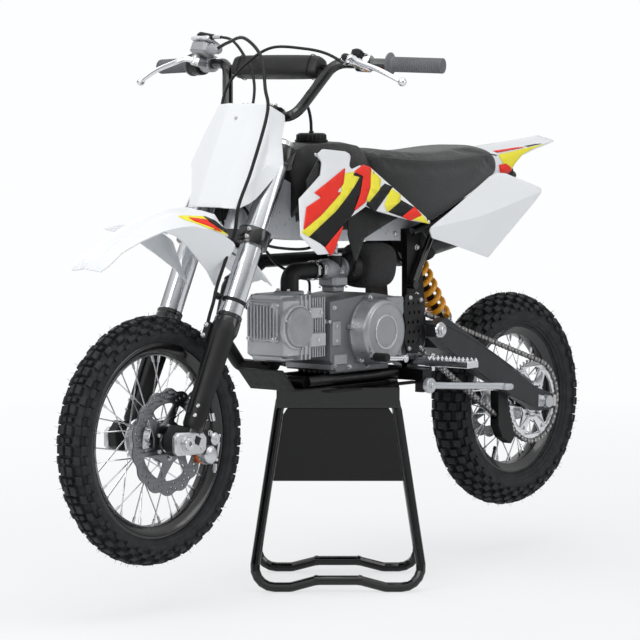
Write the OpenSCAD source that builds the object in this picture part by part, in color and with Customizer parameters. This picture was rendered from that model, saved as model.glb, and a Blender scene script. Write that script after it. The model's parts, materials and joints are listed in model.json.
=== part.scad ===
// Small off-road motorcycle with a horizontal single-cylinder engine, held on a paddock stand.
// Millimetres. The front wheel points along -Y, the left side is +X, the floor is z = 0.

/* [Wheels] */
// Distance between the two wheel axles
wheelbase = 1158; // [1120:1:1220]
// Height of the front axle in the bike's own frame, whose zero is rest_z under the skid plate
front_axle_z = 312; // [300:1:330]
// Height of the rear axle in the bike's own frame
rear_axle_z = 310; // [300:1:330]
// Front tyre diameter over the knobs
front_tyre_d = 488; // [470:1:500]
// Rear tyre diameter over the knobs
rear_tyre_d = 468; // [450:1:480]
// Front tyre width
front_tyre_w = 74; // [60:1:80]
// Rear tyre width
rear_tyre_w = 90; // [76:1:96]
// Front rim outer diameter, over the flanges
front_rim_d = 374; // [366:1:380]
// Rear rim outer diameter, over the flanges
rear_rim_d = 323; // [316:1:328]
// Spokes in each wheel, a multiple of four
spoke_count = 36; // [28:4:40]
// Spoke diameter
spoke_d = 3.6; // [3:0.1:4]
// Front axle diameter
front_axle_d = 15; // [12:1:17]
// Bore through the hollow front axle
front_axle_bore_d = 9; // [6:0.5:10]
// Rear axle diameter
rear_axle_d = 15; // [12:1:17]
// Front brake disc diameter
front_disc_d = 210; // [190:1:220]
// Rear brake disc diameter
rear_disc_d = 180; // [160:1:190]
// Rear sprocket pitch diameter
rear_sprocket_d = 178; // [160:1:186]

/* [Steering and fork] */
// Rake of the steering axis from vertical, degrees
rake = 26; // [24:0.5:28]
// Distance from the steering axis forward to the fork tubes
clamp_offset = 28; // [24:1:32]
// Distance from the fork tubes forward to the front axle
axle_lead = 24; // [20:1:30]
// Distance between the two fork tubes
fork_spacing = 156; // [150:1:164]
// Upper fork tube diameter
fork_tube_d = 46; // [40:1:50]
// Lower fork leg diameter
fork_leg_d = 33; // [30:1:36]
// Steering stem diameter
stem_d = 28; // [24:1:30]
// Handlebar tube diameter
bar_d = 22; // [20:0.5:28]
// Overall width of the handlebar
bar_w = 740; // [700:5:800]
// Grip diameter
grip_d = 30; // [28:1:34]

/* [Body] */
// Height of the top of the seat above the floor
seat_top_z = 860; // [850:1:870]
// Width of the seat at its widest
seat_w = 216; // [190:1:230]
// Thickness of the plastic panels
panel_t = 4; // [3:0.5:5]
// Outer half width of the side panels
side_panel_x = 122; // [118:1:130]
// Silencer body diameter
silencer_d = 76; // [66:1:80]
// Bore of the silencer outlet
silencer_bore_d = 26; // [20:1:30]

/* [Chassis] */
// Distance between the outer faces of the swingarm
swingarm_w = 216; // [212:1:224]
// Thickness of each swingarm leg
swingarm_t = 24; // [20:1:26]
// Height of the swingarm pivot
pivot_z = 488; // [480:1:496]
// Diameter of the swingarm pivot bolt
pivot_d = 16; // [14:1:18]
// Outer diameter of the shock spring
spring_d = 50; // [44:1:52]
// Wire diameter of the shock spring
spring_wire_d = 8; // [7:0.5:9]

/* [Paddock stand] */
// Height of the stand's top plate
stand_h = 415; // [400:1:440]
// Tube diameter of the stand
stand_tube_d = 20; // [18:1:25]
// Width of a stand loop on the floor, tube centres
stand_base_w = 352; // [330:1:380]
// Width of a stand loop at the top, tube centres
stand_top_w = 232; // [220:1:250]
// Distance between the two loops on the floor, tube centres
stand_base_l = 286; // [270:1:310]
// Turn of the stand under the bike, degrees
stand_turn = 39.5; // [30:0.5:45]

/* [Hidden] */

$fn = 48;
// Gap between two pieces of one body that seat on each other
seat_gap = 0.2;
// height of the skid plate's underside in the bike's own frame; the stand lifts it to stand_h
rest_z = 384;
// Gap round a pin or shaft that turns
run_gap = 0.3;

// Wheel places: the whole length is centred on y = 0
length_shift = (front_tyre_d - rear_tyre_d) / 4;
front_axle_y = -wheelbase / 2 + length_shift;
rear_axle_y = wheelbase / 2 + length_shift;

// Steering frame: local z runs up the steering axis, local y to the rear
steer_offset = clamp_offset + axle_lead;
steer_foot = [0, front_axle_y + steer_offset * cos(rake), front_axle_z - steer_offset * sin(rake)];
fork_x = fork_spacing / 2;
lower_clamp_z = 425;
upper_clamp_z = 605;
clamp_t = 34;
fork_tube_bottom = 272;
fork_tube_top = upper_clamp_z + clamp_t + 10;
bar_clamp_z = 707;
bar_clamp_y = -30.7;

// Hubs
front_flange_x = 30;
front_flange_r = 42;
rear_flange_x = 32;
rear_flange_r = 45;
rim_depth = 20;
disc_t = 3.5;
front_disc_x = 44;
rear_disc_x = -46;
caliper_out = 61;
sprocket_x = 69.5;
sprocket_t = 5;

// Swingarm legs
arm_out = swingarm_w / 2;
arm_in = arm_out - swingarm_t;
// Ends of the rear axle, past the legs
axle_end = arm_out + 12;

// Chain line
chain_x = sprocket_x + sprocket_t / 2;
chain_w = 12;
chain_h = 12;
drive_y = 148;
drive_z = 505;
drive_r = 30.5;
pivot_y = 204;
side_pivot = [axle_end, 147, 376];

// Frame spars
spar_out = 46;
upright_out = 56;

// ---------- helpers ----------

// Unit vector
function unit(v) = v / norm(v);

// Puts the local z axis along the line from p to q
module along(p, q) {
    v = q - p;
    translate(p) rotate([0, acos(v[2] / norm(v)), atan2(v[1], v[0])]) children();
}

// Round bar from p to q
module rod(p, q, r) {
    along(p, q) cylinder(h = norm(q - p), r = r);
}

// Points of the arc that rounds corner b of the path a, b, c
function corner_arc(a, b, c, bend, steps) =
    let (u = unit(a - b), w = unit(c - b), half = acos(u * w) / 2,
         middle = b + unit(u + w) * bend / sin(half),
         e = unit(b + u * bend / tan(half) - middle), turn = 180 - 2 * half)
    [for (i = [0:steps]) let (at = turn * i / steps) middle + bend * (cos(at) * e - sin(at) * u)];

// Path with each inner corner rounded to the same radius
function rounded(path, bend, steps = 5) = concat(
    [path[0]],
    [for (i = [1:len(path) - 2], p = corner_arc(path[i - 1], path[i], path[i + 1], bend, steps)) p],
    [path[len(path) - 1]]
);

// Direction of a path at point i
function path_dir(path, i) =
    unit(path[min(i + 1, len(path) - 1)] - path[max(i - 1, 0)]);

// Side vectors along a path, each turned as little as possible from the one before
function side_vectors(path, i, n) = i == len(path) ? [] :
    let (t = path_dir(path, i), m = unit(n - (n * t) * t))
    concat([m], side_vectors(path, i + 1, m));

// Tube swept along a path of points
module swept_tube(path, r, sides = 12) {
    last = len(path) - 1;
    t0 = path_dir(path, 0);
    n = side_vectors(path, 0, abs(t0[0]) < 0.7 ? [1, 0, 0] : [0, 1, 0]);
    rings = [
        for (i = [0:last]) let (b = cross(path_dir(path, i), n[i])) for (k = [0:sides - 1])
            path[i] + r * (cos(360 * k / sides) * n[i] + sin(360 * k / sides) * b)
    ];
    walls = [
        for (i = [0:last - 1], k = [0:sides - 1]) let (m = (k + 1) % sides)
            [i * sides + k, (i + 1) * sides + k, (i + 1) * sides + m, i * sides + m]
    ];
    first_cap = [for (k = [0:sides - 1]) k];
    last_cap = [for (k = [sides - 1:-1:0]) last * sides + k];
    polyhedron(rings, concat([first_cap], walls, [last_cap]), convexity = 8);
}

// Round tube along a list of corners, each corner bent to the same radius
module bent_tube(path, r, bend, sides = 12) {
    swept_tube(rounded(path, bend), r, sides);
}

// Extrudes a [y, z] outline across x, from x0 to x1
module plate_x(x0, x1, outline) {
    translate([x0, 0, 0]) rotate([90, 0, 90]) linear_extrude(x1 - x0) polygon(outline);
}

// Cylinder along x, from x0 to x1
module disc_x(x0, x1, r) {
    translate([x0, 0, 0]) rotate([0, 90, 0]) cylinder(h = x1 - x0, r = r);
}

module at_front_axle() {
    translate([0, front_axle_y, front_axle_z]) children();
}

module at_rear_axle() {
    translate([0, rear_axle_y, rear_axle_z]) children();
}

module at_pivot() {
    translate([0, pivot_y, pivot_z]) children();
}

module at_drive() {
    translate([0, drive_y, drive_z]) children();
}

module steer() {
    translate(steer_foot) rotate([-rake, 0, 0]) children();
}

// Bike [y, z] of a point given in the steering frame
function steered(y, z) = [
    steer_foot[1] + y * cos(rake) + z * sin(rake), steer_foot[2] - y * sin(rake) + z * cos(rake)
];

module both_sides() {
    children();
    mirror([1, 0, 0]) children();
}

// Box between two corners
module block(low, high) {
    translate(low) cube(high - low);
}

// ---------- wheels ----------

// Tyre: a rounded ring with a flat inner face on the rim
module tyre(d, w, rim_d) {
    crown = w / 2;
    rotate([0, 90, 0]) rotate_extrude() difference() {
        union() {
            translate([d / 2 - crown, 0]) circle(crown);
            translate([rim_d / 2 - 8, -w * 0.38]) square([d / 2 - crown - rim_d / 2 + 8, w * 0.76]);
        }
        translate([0, -w]) square([rim_d / 2, 2 * w]);
    }
}

// Rim: a shallow channel with two raised flanges
module rim(d, w) {
    inner = d / 2 - rim_depth;
    rotate([0, 90, 0]) rotate_extrude() polygon([
        [inner, -w * 0.28], [inner + 6, -w / 2], [d / 2 - seat_gap, -w / 2],
        [d / 2 - seat_gap, -w / 2 + 4], [inner + 10, -w / 2 + 6], [inner + 5, -w * 0.2],
        [inner + 5, w * 0.2], [inner + 10, w / 2 - 6], [d / 2 - seat_gap, w / 2 - 4],
        [d / 2 - seat_gap, w / 2], [inner + 6, w / 2], [inner, w * 0.28]
    ]);
}

// Spokes from both hub flanges to the middle of the rim, alternately leaning
module spokes(flange_x, flange_r, rim_d) {
    per_side = spoke_count / 2;
    lean = 3.2;
    rim_r = rim_d / 2 - rim_depth - 0.9;
    for (side = [-1, 1], i = [0:per_side - 1]) {
        at = 360 / per_side * (i + (side + 1) / 4);
        turn = lean * (i % 2 == 0 ? 1 : -1);
        hub_end = [side * flange_x, (flange_r + 0.8) * cos(at), (flange_r + 0.8) * sin(at)];
        rim_end = [side * 4, rim_r * cos(at + turn), rim_r * sin(at + turn)];
        rod(hub_end, rim_end, spoke_d / 2);
    }
}

// Hub: barrel, two flanges and a bore for the axle
module hub(flange_x, flange_r, barrel_r, left_end, right_end, boss_r, axle_d) {
    difference() {
        union() {
            disc_x(right_end, left_end, barrel_r);
            disc_x(flange_x - 3, flange_x + 3, flange_r);
            disc_x(-flange_x - 3, -flange_x + 3, flange_r);
            disc_x(flange_x + 3, left_end, boss_r);
            disc_x(right_end, -flange_x - 3, boss_r);
        }
        disc_x(right_end - 1, left_end + 1, axle_d / 2 + run_gap);
    }
}

// Brake disc on five arms
module brake_disc(d, band, hole_r) {
    rotate([0, 90, 0]) difference() {
        cylinder(h = disc_t, d = d);
        translate([0, 0, -1]) cylinder(h = disc_t + 2, r = hole_r);
        for (i = [0:4]) rotate(i * 72) {
            translate([(d / 2 - band + hole_r + 12) / 2, 0, -1]) cylinder(h = disc_t + 2, r = 13);
        }
    }
}

module front_tyre() color([0.07, 0.07, 0.07]) {
    at_front_axle() tyre(front_tyre_d, front_tyre_w, front_rim_d);
}

module rear_tyre() color([0.07, 0.07, 0.07]) {
    at_rear_axle() tyre(rear_tyre_d, rear_tyre_w, rear_rim_d);
}

module front_rim() color([0.08, 0.08, 0.09]) {
    at_front_axle() rim(front_rim_d, 42);
}

module rear_rim() color([0.08, 0.08, 0.09]) {
    at_rear_axle() rim(rear_rim_d, 48);
}

module front_hub() color([0.62, 0.63, 0.65]) {
    at_front_axle() {
        hub(front_flange_x, front_flange_r, 22, front_disc_x, -front_disc_x, 33, front_axle_d);
        spokes(front_flange_x, front_flange_r, front_rim_d);
    }
}

module rear_hub() color([0.62, 0.63, 0.65]) {
    at_rear_axle() {
        hub(rear_flange_x, rear_flange_r, 24, sprocket_x, rear_disc_x, 33, rear_axle_d);
        spokes(rear_flange_x, rear_flange_r, rear_rim_d);
    }
}

module front_disc() color([0.4, 0.4, 0.42]) {
    at_front_axle() translate([front_disc_x, 0, 0]) brake_disc(front_disc_d, 24, 20);
}

module rear_disc() color([0.4, 0.4, 0.42]) {
    at_rear_axle() translate([rear_disc_x - disc_t, 0, 0]) brake_disc(rear_disc_d, 22, 20);
}

// Sprocket: a plain disc inside the chain, opened between its arms
module rear_sprocket() color([0.75, 0.75, 0.76]) {
    at_rear_axle() translate([sprocket_x, 0, 0]) rotate([0, 90, 0]) difference() {
        cylinder(h = sprocket_t, r = rear_sprocket_d / 2 - chain_h / 2 - 2);
        translate([0, 0, -1]) cylinder(h = sprocket_t + 2, r = 16);
        for (i = [0:5]) rotate(i * 60) translate([52, 0, -1]) cylinder(h = sprocket_t + 2, r = 14);
    }
}

// ---------- steering ----------

// One clamp plate round both fork tubes and the stem
module clamp_plate(z) {
    translate([0, 0, z]) difference() {
        union() {
            for (side = [-1, 1]) translate([side * fork_x, -clamp_offset, 0]) {
                cylinder(h = clamp_t, r = fork_tube_d / 2 + 9);
            }
            translate([0, -4, 0]) cylinder(h = clamp_t, r = 30);
            translate([-fork_x, -clamp_offset - 16, 4]) cube([fork_spacing, 34, clamp_t - 8]);
        }
        for (side = [-1, 1]) translate([side * fork_x, -clamp_offset, -1]) {
            cylinder(h = clamp_t + 2, r = fork_tube_d / 2 + seat_gap);
        }
    }
}

// Bar riser with a bore that holds the handlebar
module bar_riser(x) {
    riser_w = 26;
    translate([x - riser_w / 2, bar_clamp_y, 0]) difference() {
        union() {
            translate([0, -16, upper_clamp_z + clamp_t]) {
                cube([riser_w, 32, bar_clamp_z - upper_clamp_z - clamp_t]);
            }
            translate([0, 0, bar_clamp_z]) disc_x(0, riser_w, bar_d / 2 + 8);
        }
        translate([0, 0, bar_clamp_z]) disc_x(-1, riser_w + 1, bar_d / 2 + seat_gap);
    }
}

module triple_clamps() color([0.1, 0.1, 0.11]) {
    steer() {
        clamp_plate(lower_clamp_z);
        clamp_plate(upper_clamp_z);
        translate([0, 0, lower_clamp_z + 5]) {
            cylinder(h = upper_clamp_z - lower_clamp_z + clamp_t, r = stem_d / 2);
        }
        for (x = [-37, 37]) bar_riser(x);
    }
}

module fork_tubes() color([0.7, 0.71, 0.73]) {
    steer() for (side = [-1, 1]) translate([side * fork_x, -clamp_offset, fork_tube_bottom]) {
        cylinder(h = fork_tube_top - fork_tube_bottom, d = fork_tube_d);
    }
}

// Axle lug at the foot of a fork leg
module fork_foot() {
    foot_in = 62;
    foot_out = 96;
    translate([foot_in, -34, -22]) cube([foot_out - foot_in, 90, 44]);
}

module fork_legs() color([0.1, 0.1, 0.11]) {
    difference() {
        union() {
            steer() for (side = [-1, 1]) translate([side * fork_x, -clamp_offset, 10]) {
                cylinder(h = fork_tube_bottom - 10 - seat_gap, d = fork_leg_d);
                translate([0, 0, fork_tube_bottom - 38]) {
                    cylinder(h = 28 - seat_gap, d = fork_tube_d + 4);
                }
            }
            at_front_axle() both_sides() fork_foot();
            at_front_axle() block([caliper_out + seat_gap, 40, -42], [74, 132, 12]);
            steer() for (side = [-1, 1]) translate([side * fork_x, -clamp_offset, 30]) {
                translate([-20, -25, 0]) cube([40, 12, fork_tube_bottom - 42]);
            }
        }
        at_front_axle() disc_x(-120, 120, front_axle_d / 2 + seat_gap);
    }
}

// Hollow front axle with a head and a nut
module front_axle() color([0.6, 0.6, 0.62]) {
    at_front_axle() difference() {
        union() {
            disc_x(-104, 104, front_axle_d / 2);
            disc_x(-104, -96 - seat_gap, 13);
            disc_x(96 + seat_gap, 104, 13);
            disc_x(front_disc_x + disc_t + 1, 62 - seat_gap, 12);
            disc_x(-62 + seat_gap, -front_disc_x - 1, 12);
        }
        disc_x(-110, 110, front_axle_bore_d / 2);
    }
}

// Corners of the handlebar in the steering frame, left half from the middle out
bar_corner_1 = [88, bar_clamp_y, bar_clamp_z];
bar_corner_2 = [142, -22, 831];
bar_end = [bar_w / 2, 29, 848];

function flip(p) = [-p[0], p[1], p[2]];
// Point on the outer straight of the bar at a given x
function bar_at(x) = bar_corner_2
    + (bar_end - bar_corner_2) * (x - bar_corner_2[0]) / (bar_end[0] - bar_corner_2[0]);
// Point on the rising part of the bar at a given z
function bar_rise_at(z) = bar_corner_1
    + (bar_corner_2 - bar_corner_1) * (z - bar_corner_1[2]) / (bar_corner_2[2] - bar_corner_1[2]);

crossbar_z = 820;
crossbar_d = 12;
grip_start = 258;

module handlebar() color([0.1, 0.1, 0.11]) {
    steer() {
        bent_tube([
            flip(bar_end), flip(bar_corner_2), flip(bar_corner_1),
            bar_corner_1, bar_corner_2, bar_end
        ], bar_d / 2, 40);
        rod(flip(bar_rise_at(crossbar_z)), bar_rise_at(crossbar_z), crossbar_d / 2);
    }
}

module bar_pad() color([0.09, 0.09, 0.1]) {
    pad_half = 112;
    steer() translate([0, bar_rise_at(crossbar_z)[1], crossbar_z]) difference() {
        translate([-pad_half, -20, -23]) cube([2 * pad_half, 40, 46]);
        disc_x(-pad_half - 1, pad_half + 1, crossbar_d / 2 + run_gap);
    }
}

// One grip over the bar end, with its flange
module grip(side) {
    start = bar_at(grip_start);
    stop = bar_at(bar_w / 2);
    mirror([side < 0 ? 1 : 0, 0, 0]) difference() {
        union() {
            rod(start, stop + unit(stop - start) * 3, grip_d / 2);
            rod(start, start + unit(stop - start) * 6, grip_d / 2 + 8);
        }
        rod(start - unit(stop - start), stop + unit(stop - start) * 0.3, bar_d / 2 + seat_gap);
    }
}

module grips() color([0.38, 0.39, 0.41]) {
    steer() {
        grip(1);
        grip(-1);
    }
}

// Collar round the bar between two x values
module bar_collar(x0, x1, r) {
    difference() {
        rod(bar_at(x0), bar_at(x1), r);
        rod(bar_at(x0 - 2), bar_at(x1 + 2), bar_d / 2 + seat_gap);
    }
}

lever_pivot_x = 205;
lever_reach = 44;

// Lever blade from its pivot out to the ball end
module lever_blade() {
    pivot = bar_at(lever_pivot_x) + [0, -lever_reach, -14];
    knee = bar_at(lever_pivot_x + 40) + [0, -lever_reach - 24, -30];
    tip = bar_at(345) + [0, -lever_reach - 22, -68];
    bent_tube([pivot, knee, tip], 5.5, 30, 8);
    translate(tip) sphere(r = 9);
}

// Perch that carries a lever, joined to a collar on the bar
module lever_perch() {
    bar_collar(lever_pivot_x - 14, lever_pivot_x + 14, 17);
    difference() {
        rod(bar_at(lever_pivot_x) + [0, -14, -6], bar_at(lever_pivot_x) + [0, -lever_reach, -14], 9);
        rod(bar_at(lever_pivot_x - 30), bar_at(lever_pivot_x + 30), bar_d / 2 + seat_gap);
    }
}

module clutch_lever() color([0.7, 0.71, 0.73]) {
    steer() {
        lever_perch();
        lever_blade();
    }
}

module brake_lever() color([0.5, 0.51, 0.53]) {
    steer() {
        mirror([1, 0, 0]) {
            lever_perch();
            lever_blade();
            translate(bar_at(lever_pivot_x) + [-24, -48, 2]) cube([44, 34, 38]);
            rod(bar_at(240) + [0, -10, 18], [214, -50, 876], 8);
            translate([0, -50, 876]) disc_x(176 + seat_gap, 222, 8);
            bar_collar(lever_pivot_x + 20, grip_start - 1, 21);
        }
    }
}

// Number plate in front of the fork, in the steering frame, with a wing folded back each side
module number_plate() color([0.93, 0.94, 0.95]) {
    plate_front = -96;
    fold = [88, plate_front];
    wing = [fork_x + fork_tube_d / 2 + 7, -48];
    bracket_x = 52;
    clamp_front = clamp_offset + sqrt(pow(fork_tube_d / 2 + 9, 2) - pow(fork_x - bracket_x - 6, 2));
    steer() {
        intersection() {
            translate([0, 0, 400]) linear_extrude(400) polygon([
                [-wing[0], wing[1]], [-fold[0], fold[1]], fold, wing,
                wing - [panel_t + 0.5, 0], fold + [-panel_t + 1, panel_t],
                [-fold[0] + panel_t - 1, fold[1] + panel_t], [-wing[0] + panel_t + 0.5, wing[1]]
            ]);
            rotate([90, 0, 0]) linear_extrude(200) polygon([
                [-80, 703], [80, 703], [110, 575], [102, 520], [84, 484],
                [-84, 484], [-102, 520], [-110, 575]
            ]);
        }
        for (side = [-1, 1]) translate([side * bracket_x - 6, plate_front + panel_t, upper_clamp_z + 6]) {
            cube([12, -plate_front - panel_t - clamp_front - seat_gap, 14]);
        }
    }
}

// Front mudguard: a side profile in the steering frame, seated under the lower clamp,
// cut to a plan outline that leans with the bike, with a skirt down each side
module front_fender() color([0.93, 0.94, 0.95]) {
    seat_z = lower_clamp_z - seat_gap;
    plan_lean = 26;
    skirt_x = 84;
    // the tail ends this far forward of the cylinder head, whatever the rake
    tail_front = -243.7;
    tail_z = 411;
    tail = [(tail_front - steer_foot[1] - tail_z * sin(rake)) / cos(rake), tail_z];
    top = [
        [-362, 238], [-340, 282], [-304, 326], [-254, 378], [-204, 418], [-150, 450],
        [-109, 459], [-65, seat_z], [28, seat_z], tail
    ];
    last = len(top) - 1;
    under = [for (i = [last:-1:0]) let (d = unit(top[min(i + 1, last)] - top[max(i - 1, 0)]))
        top[i] + panel_t * [d[1], -d[0]]];
    steer() intersection() {
        plate_x(-100, 100, concat(top, under));
        rotate([plan_lean, 0, 0]) linear_extrude(900) polygon([
            [-44, -228], [44, -228], [50, -130], [63, 0], [84, 72], [84, 87], [48, 117],
            [48, 227], [36, 288], [-36, 288], [-48, 227], [-48, 117], [-84, 87],
            [-84, 72], [-63, 0], [-50, -130]
        ]);
    }
    steer() both_sides() plate_x(skirt_x - panel_t, skirt_x, [
        [-196, 419], [-150, 447], [-110, 455], [-74, 425], [-62, 400], [-72, 366], [-150, 370], [-230, 380]
    ]);
}

// Caliper that straddles a disc at an angle round the axle, opened where the disc runs
module caliper(angle, disc_r, x0, x1, slot_0, slot_1) {
    rotate([angle, 0, 0]) translate([0, disc_r, 0]) difference() {
        translate([x0, -26, -32]) cube([x1 - x0, 58, 64]);
        translate([slot_0, -60, -60]) cube([slot_1 - slot_0, 68, 120]);
    }
}

module front_caliper() color([0.66, 0.67, 0.69]) {
    at_front_axle() {
        caliper(-10, front_disc_d / 2, 32, caliper_out, front_disc_x - 5, front_disc_x + disc_t + 5);
    }
}

module rear_caliper() color([0.66, 0.67, 0.69]) {
    at_rear_axle() {
        caliper(155, rear_disc_d / 2, -caliper_out - 2, -36, rear_disc_x - disc_t - 5, rear_disc_x + 5);
        block([-arm_in + seat_gap, -104, 26], [-caliper_out + 1, -72, 52]);
    }
}

// Brake hose from the master cylinder to the caliper, in the steering frame
hose_d = 7;
hose_path = [
    [-180.8, -46, 850], [-164, -46, 850], [-110, -72, 852], [-40, -104, 846], [30, -114, 800],
    [66, -112, 730], [84, -104, 680], [88, -103, 560], [84, -103, 480], [70, -76, 430],
    [62, -70, 330], [62, -66, 290], [52, -50, 240],
    [50, -10, 150], [56, 42, 82]
];

module front_brake_hose() color([0.06, 0.06, 0.06]) {
    steer() bent_tube(hose_path, hose_d / 2, 14, 8);
}

// Control cables. Each is cut where it crosses the steering axis: the upper half turns
// with the fork, and the lower half stays with the frame
cable_r = 3;
cable_bend = 26;
cable_cut_z = 560;

module throttle_cable() color([0.06, 0.06, 0.06]) {
    steer() bent_tube([
        [-176, -50, 876], [-156, -50, 876], [-110, -62, 862], [-60, -70, 826], [-14, -71, 775], [6, -70, 720],
        [8, -66, 640], [12, -40, 590], [12, -40, cable_cut_z]
    ], cable_r, cable_bend, 8);
}

module clutch_cable() color([0.06, 0.06, 0.06]) {
    steer() bent_tube([
        [195.8, -34, 824], [178, -34, 824], [140, -52, 836], [90, -62, 842], [20, -80, 836], [-30, -84, 800],
        [-66, -80, 750], [-66, -74, 690], [-50, -66, 640], [-14, -40, 596], [-14, -40, cable_cut_z]
    ], cable_r, cable_bend, 8);
}

// A point of the steering frame, given in the bike's frame
function steered_point(p) = let (q = steered(p[1], p[2])) [p[0], q[0], q[1]];

// Run of a lower cable from the cut, round the head tube and back along a spar
function round_head(side) = [
    for (p = [
        [12, -40, cable_cut_z - seat_gap], [12, -40, 530], [35, -18, 500], [35, 12, 474], [30, 60, 468]
    ]) steered_point([side * p[0], p[1], p[2]])
];

module throttle_cable_lower() color([0.06, 0.06, 0.06]) {
    bent_tube(concat(round_head(1), [
        [20, -200, 672], [14, -120, 668], [10, -60, 680], [10, -20, 676], [10, -20, 652 + seat_gap]
    ]), cable_r, 20, 8);
}

module clutch_cable_lower() color([0.06, 0.06, 0.06]) {
    bent_tube(concat(round_head(-1), [
        [-40, -190, 668], [-58, -130, 636], [-63, -50, 604], [-78, 0, 592], [-78, 0, 550 + seat_gap]
    ]), cable_r, 20, 8);
}

// ---------- frame and engine ----------

// Top edge of a main spar: from the head, past a bend, to the rear
spar_bend = [-120, 772];
spar_rear = [190, 738];
spar_head = steered(3, 599);

// Height of the spar's top edge at a given y
function spar_top(y) = let (p = y < spar_bend[0] ? spar_head : spar_rear)
    spar_bend[1] + (y - spar_bend[0]) * (p[1] - spar_bend[1]) / (p[0] - spar_bend[0]);

module main_frame() color([0.6, 0.61, 0.63]) {
    difference() {
        union() {
            steer() translate([0, 0, lower_clamp_z + clamp_t + 1.5]) {
                cylinder(h = upper_clamp_z - lower_clamp_z - clamp_t - 3, r = 26);
            }
            both_sides() {
                plate_x(20, spar_out, [
                    spar_head, spar_bend, spar_rear, [214, 706], [214, 650], [162, 650],
                    [150, 676], [-120, 684], steered(85, 492), steered(17, 483)
                ]);
                plate_x(spar_out - 4, upright_out, [
                    [160, 700], [200, 700], [224, 520], [224, 466], [200, 387], [160, 387]
                ]);
                rod([spar_out + 2, 170, 399], [spar_out + 2, -160, 399], 12);
            }
            translate([0, 206, 706]) disc_x(-spar_out, spar_out, 12);
            translate([0, 178, 399]) disc_x(-spar_out, spar_out, 12);
            translate([0, -160, 399]) disc_x(-spar_out - 2, spar_out + 2, 12);
            block([spar_out, 132, 386], [side_pivot[0], 162, 410]);
            block([side_pivot[0] - 20, 132, 362], [side_pivot[0], 162, 410]);
        }
        steer() translate([0, 0, lower_clamp_z]) cylinder(h = 220, r = stem_d / 2 + run_gap);
        at_pivot() disc_x(-80, 80, pivot_d / 2 + seat_gap);
    }
}

// Corners of the left seat rail
rail_r = 9;
rail_x = upright_out + rail_r + seat_gap;
rail_path = [[rail_x, 164, 694], [rail_x, 230, 712], [rail_x, 520, 806]];

// Height of the middle of the seat rail at a given y, behind its bend
function rail_z(y) = rail_path[1][2]
    + (y - rail_path[1][1]) * (rail_path[2][2] - rail_path[1][2]) / (rail_path[2][1] - rail_path[1][1]);

// Height just clear of the top of the rail
function rail_top(y) = rail_z(y) + seat_gap
    + rail_r * norm(rail_path[2] - rail_path[1]) / (rail_path[2][1] - rail_path[1][1]);

// Seat rails and their lower stays
module subframe() color([0.09, 0.09, 0.1]) {
    both_sides() {
        bent_tube(rail_path, rail_r, 60);
        rod([rail_x, 168, 583], [rail_x, 252, rail_z(252)], 7);
        translate([0, 168, 583]) disc_x(upright_out + seat_gap, rail_x + 9, 9);
    }
    translate([0, 500, rail_z(500)]) disc_x(-rail_x, rail_x, 8);
}

module engine_case() color([0.5, 0.51, 0.53]) {
    plate_x(-70, 62, [
        [-100, 560], [40, 572], [150, 556], [158, 470], [140, 424], [-80, 416], [-100, 440]
    ]);
    at_drive() disc_x(62, chain_x - 3, 16);
    at_drive() disc_x(chain_x - 3, chain_x + 3, drive_r - chain_h / 2 - seat_gap);
    mount_x = spar_out - 4 - seat_gap;
    block([-mount_x, 148, 500], [mount_x, 184, 536]);
    block([-mount_x, 138, 426], [mount_x, 184, 452]);
}

module cylinder_head() color([0.62, 0.63, 0.65]) {
    head_y = -196;
    block([-52, -150, 450], [52, -100 - seat_gap, 570]);
    block([-58, -232, 446], [58, -150, 578]);
    block([-36, -246, 486], [36, -232, 562]);
    translate([0, head_y - 10, 514]) disc_x(58, 66, 40);
}

module engine_covers() color([0.56, 0.57, 0.59]) {
    translate([0, 38, 494]) disc_x(62 + seat_gap, 106, 62);
    plate_x(62 + seat_gap, 84, [
        [60, 560], [112, 560], [112, 530], [98, 500], [106, 440], [60, 426]
    ]);
    plate_x(chain_x + chain_w / 2 + 1.6, arm_in - seat_gap, [
        [120, 562], [180, 560], [184, 520], [184, 492], [180, 450], [126, 446], [118, 470]
    ]);
    translate([0, 126, 550]) disc_x(62 + seat_gap, arm_in - 2, 5);
    translate([0, 30, 490]) disc_x(-96, -70 - seat_gap, 66);
    plate_x(-92, -70 - seat_gap, [
        [-20, 550], [130, 548], [138, 450], [-20, 430]
    ]);
}

module exhaust_pipe() color([0.1, 0.1, 0.11]) {
    pipe_r = 14;
    bent_tube([
        [-20, -180, 446 - seat_gap], [-20, -180, 426], [-92, -204, 430], [-96, -262, 500],
        [-94, -236, 596], [-90, -140, 640], [-90, 200, 640], [-80, 262, 642]
    ], pipe_r, 14);
}

silencer_front = [-80, 262, 642];
silencer_back = [-80, 545, 690];

module silencer() color([0.12, 0.12, 0.13]) {
    span = norm(silencer_back - silencer_front);
    along(silencer_front, silencer_back) difference() {
        union() {
            translate([0, 0, 3]) cylinder(h = 30, r1 = 16, r2 = silencer_d / 2);
            translate([0, 0, 33]) cylinder(h = span - 33, d = silencer_d);
            translate([0, 0, span]) cylinder(h = 22, d = silencer_bore_d + 8);
        }
        translate([0, 0, span - 40]) cylinder(h = 70, d = silencer_bore_d);
    }
}

module carburettor() color([0.45, 0.46, 0.48]) {
    bent_tube([[4, -160, 578 + seat_gap], [4, -160, 622], [4, -61, 622]], 17, 30);
    block([-20, -62 + seat_gap, 580], [30, 46, 652]);
}

module air_filter() color([0.05, 0.05, 0.05]) {
    translate([8, 46.3, 624]) rotate([-90, 0, 0]) cylinder(h = 92, r = 46);
}

// Sides of the tank in an [x, z] section, left half from the top down
tank_side_x = 84;
tank_side = [[44, 886], [60, 866], [tank_side_x, 815], [tank_side_x, 790], [58, 762], [58, 700]];

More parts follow.
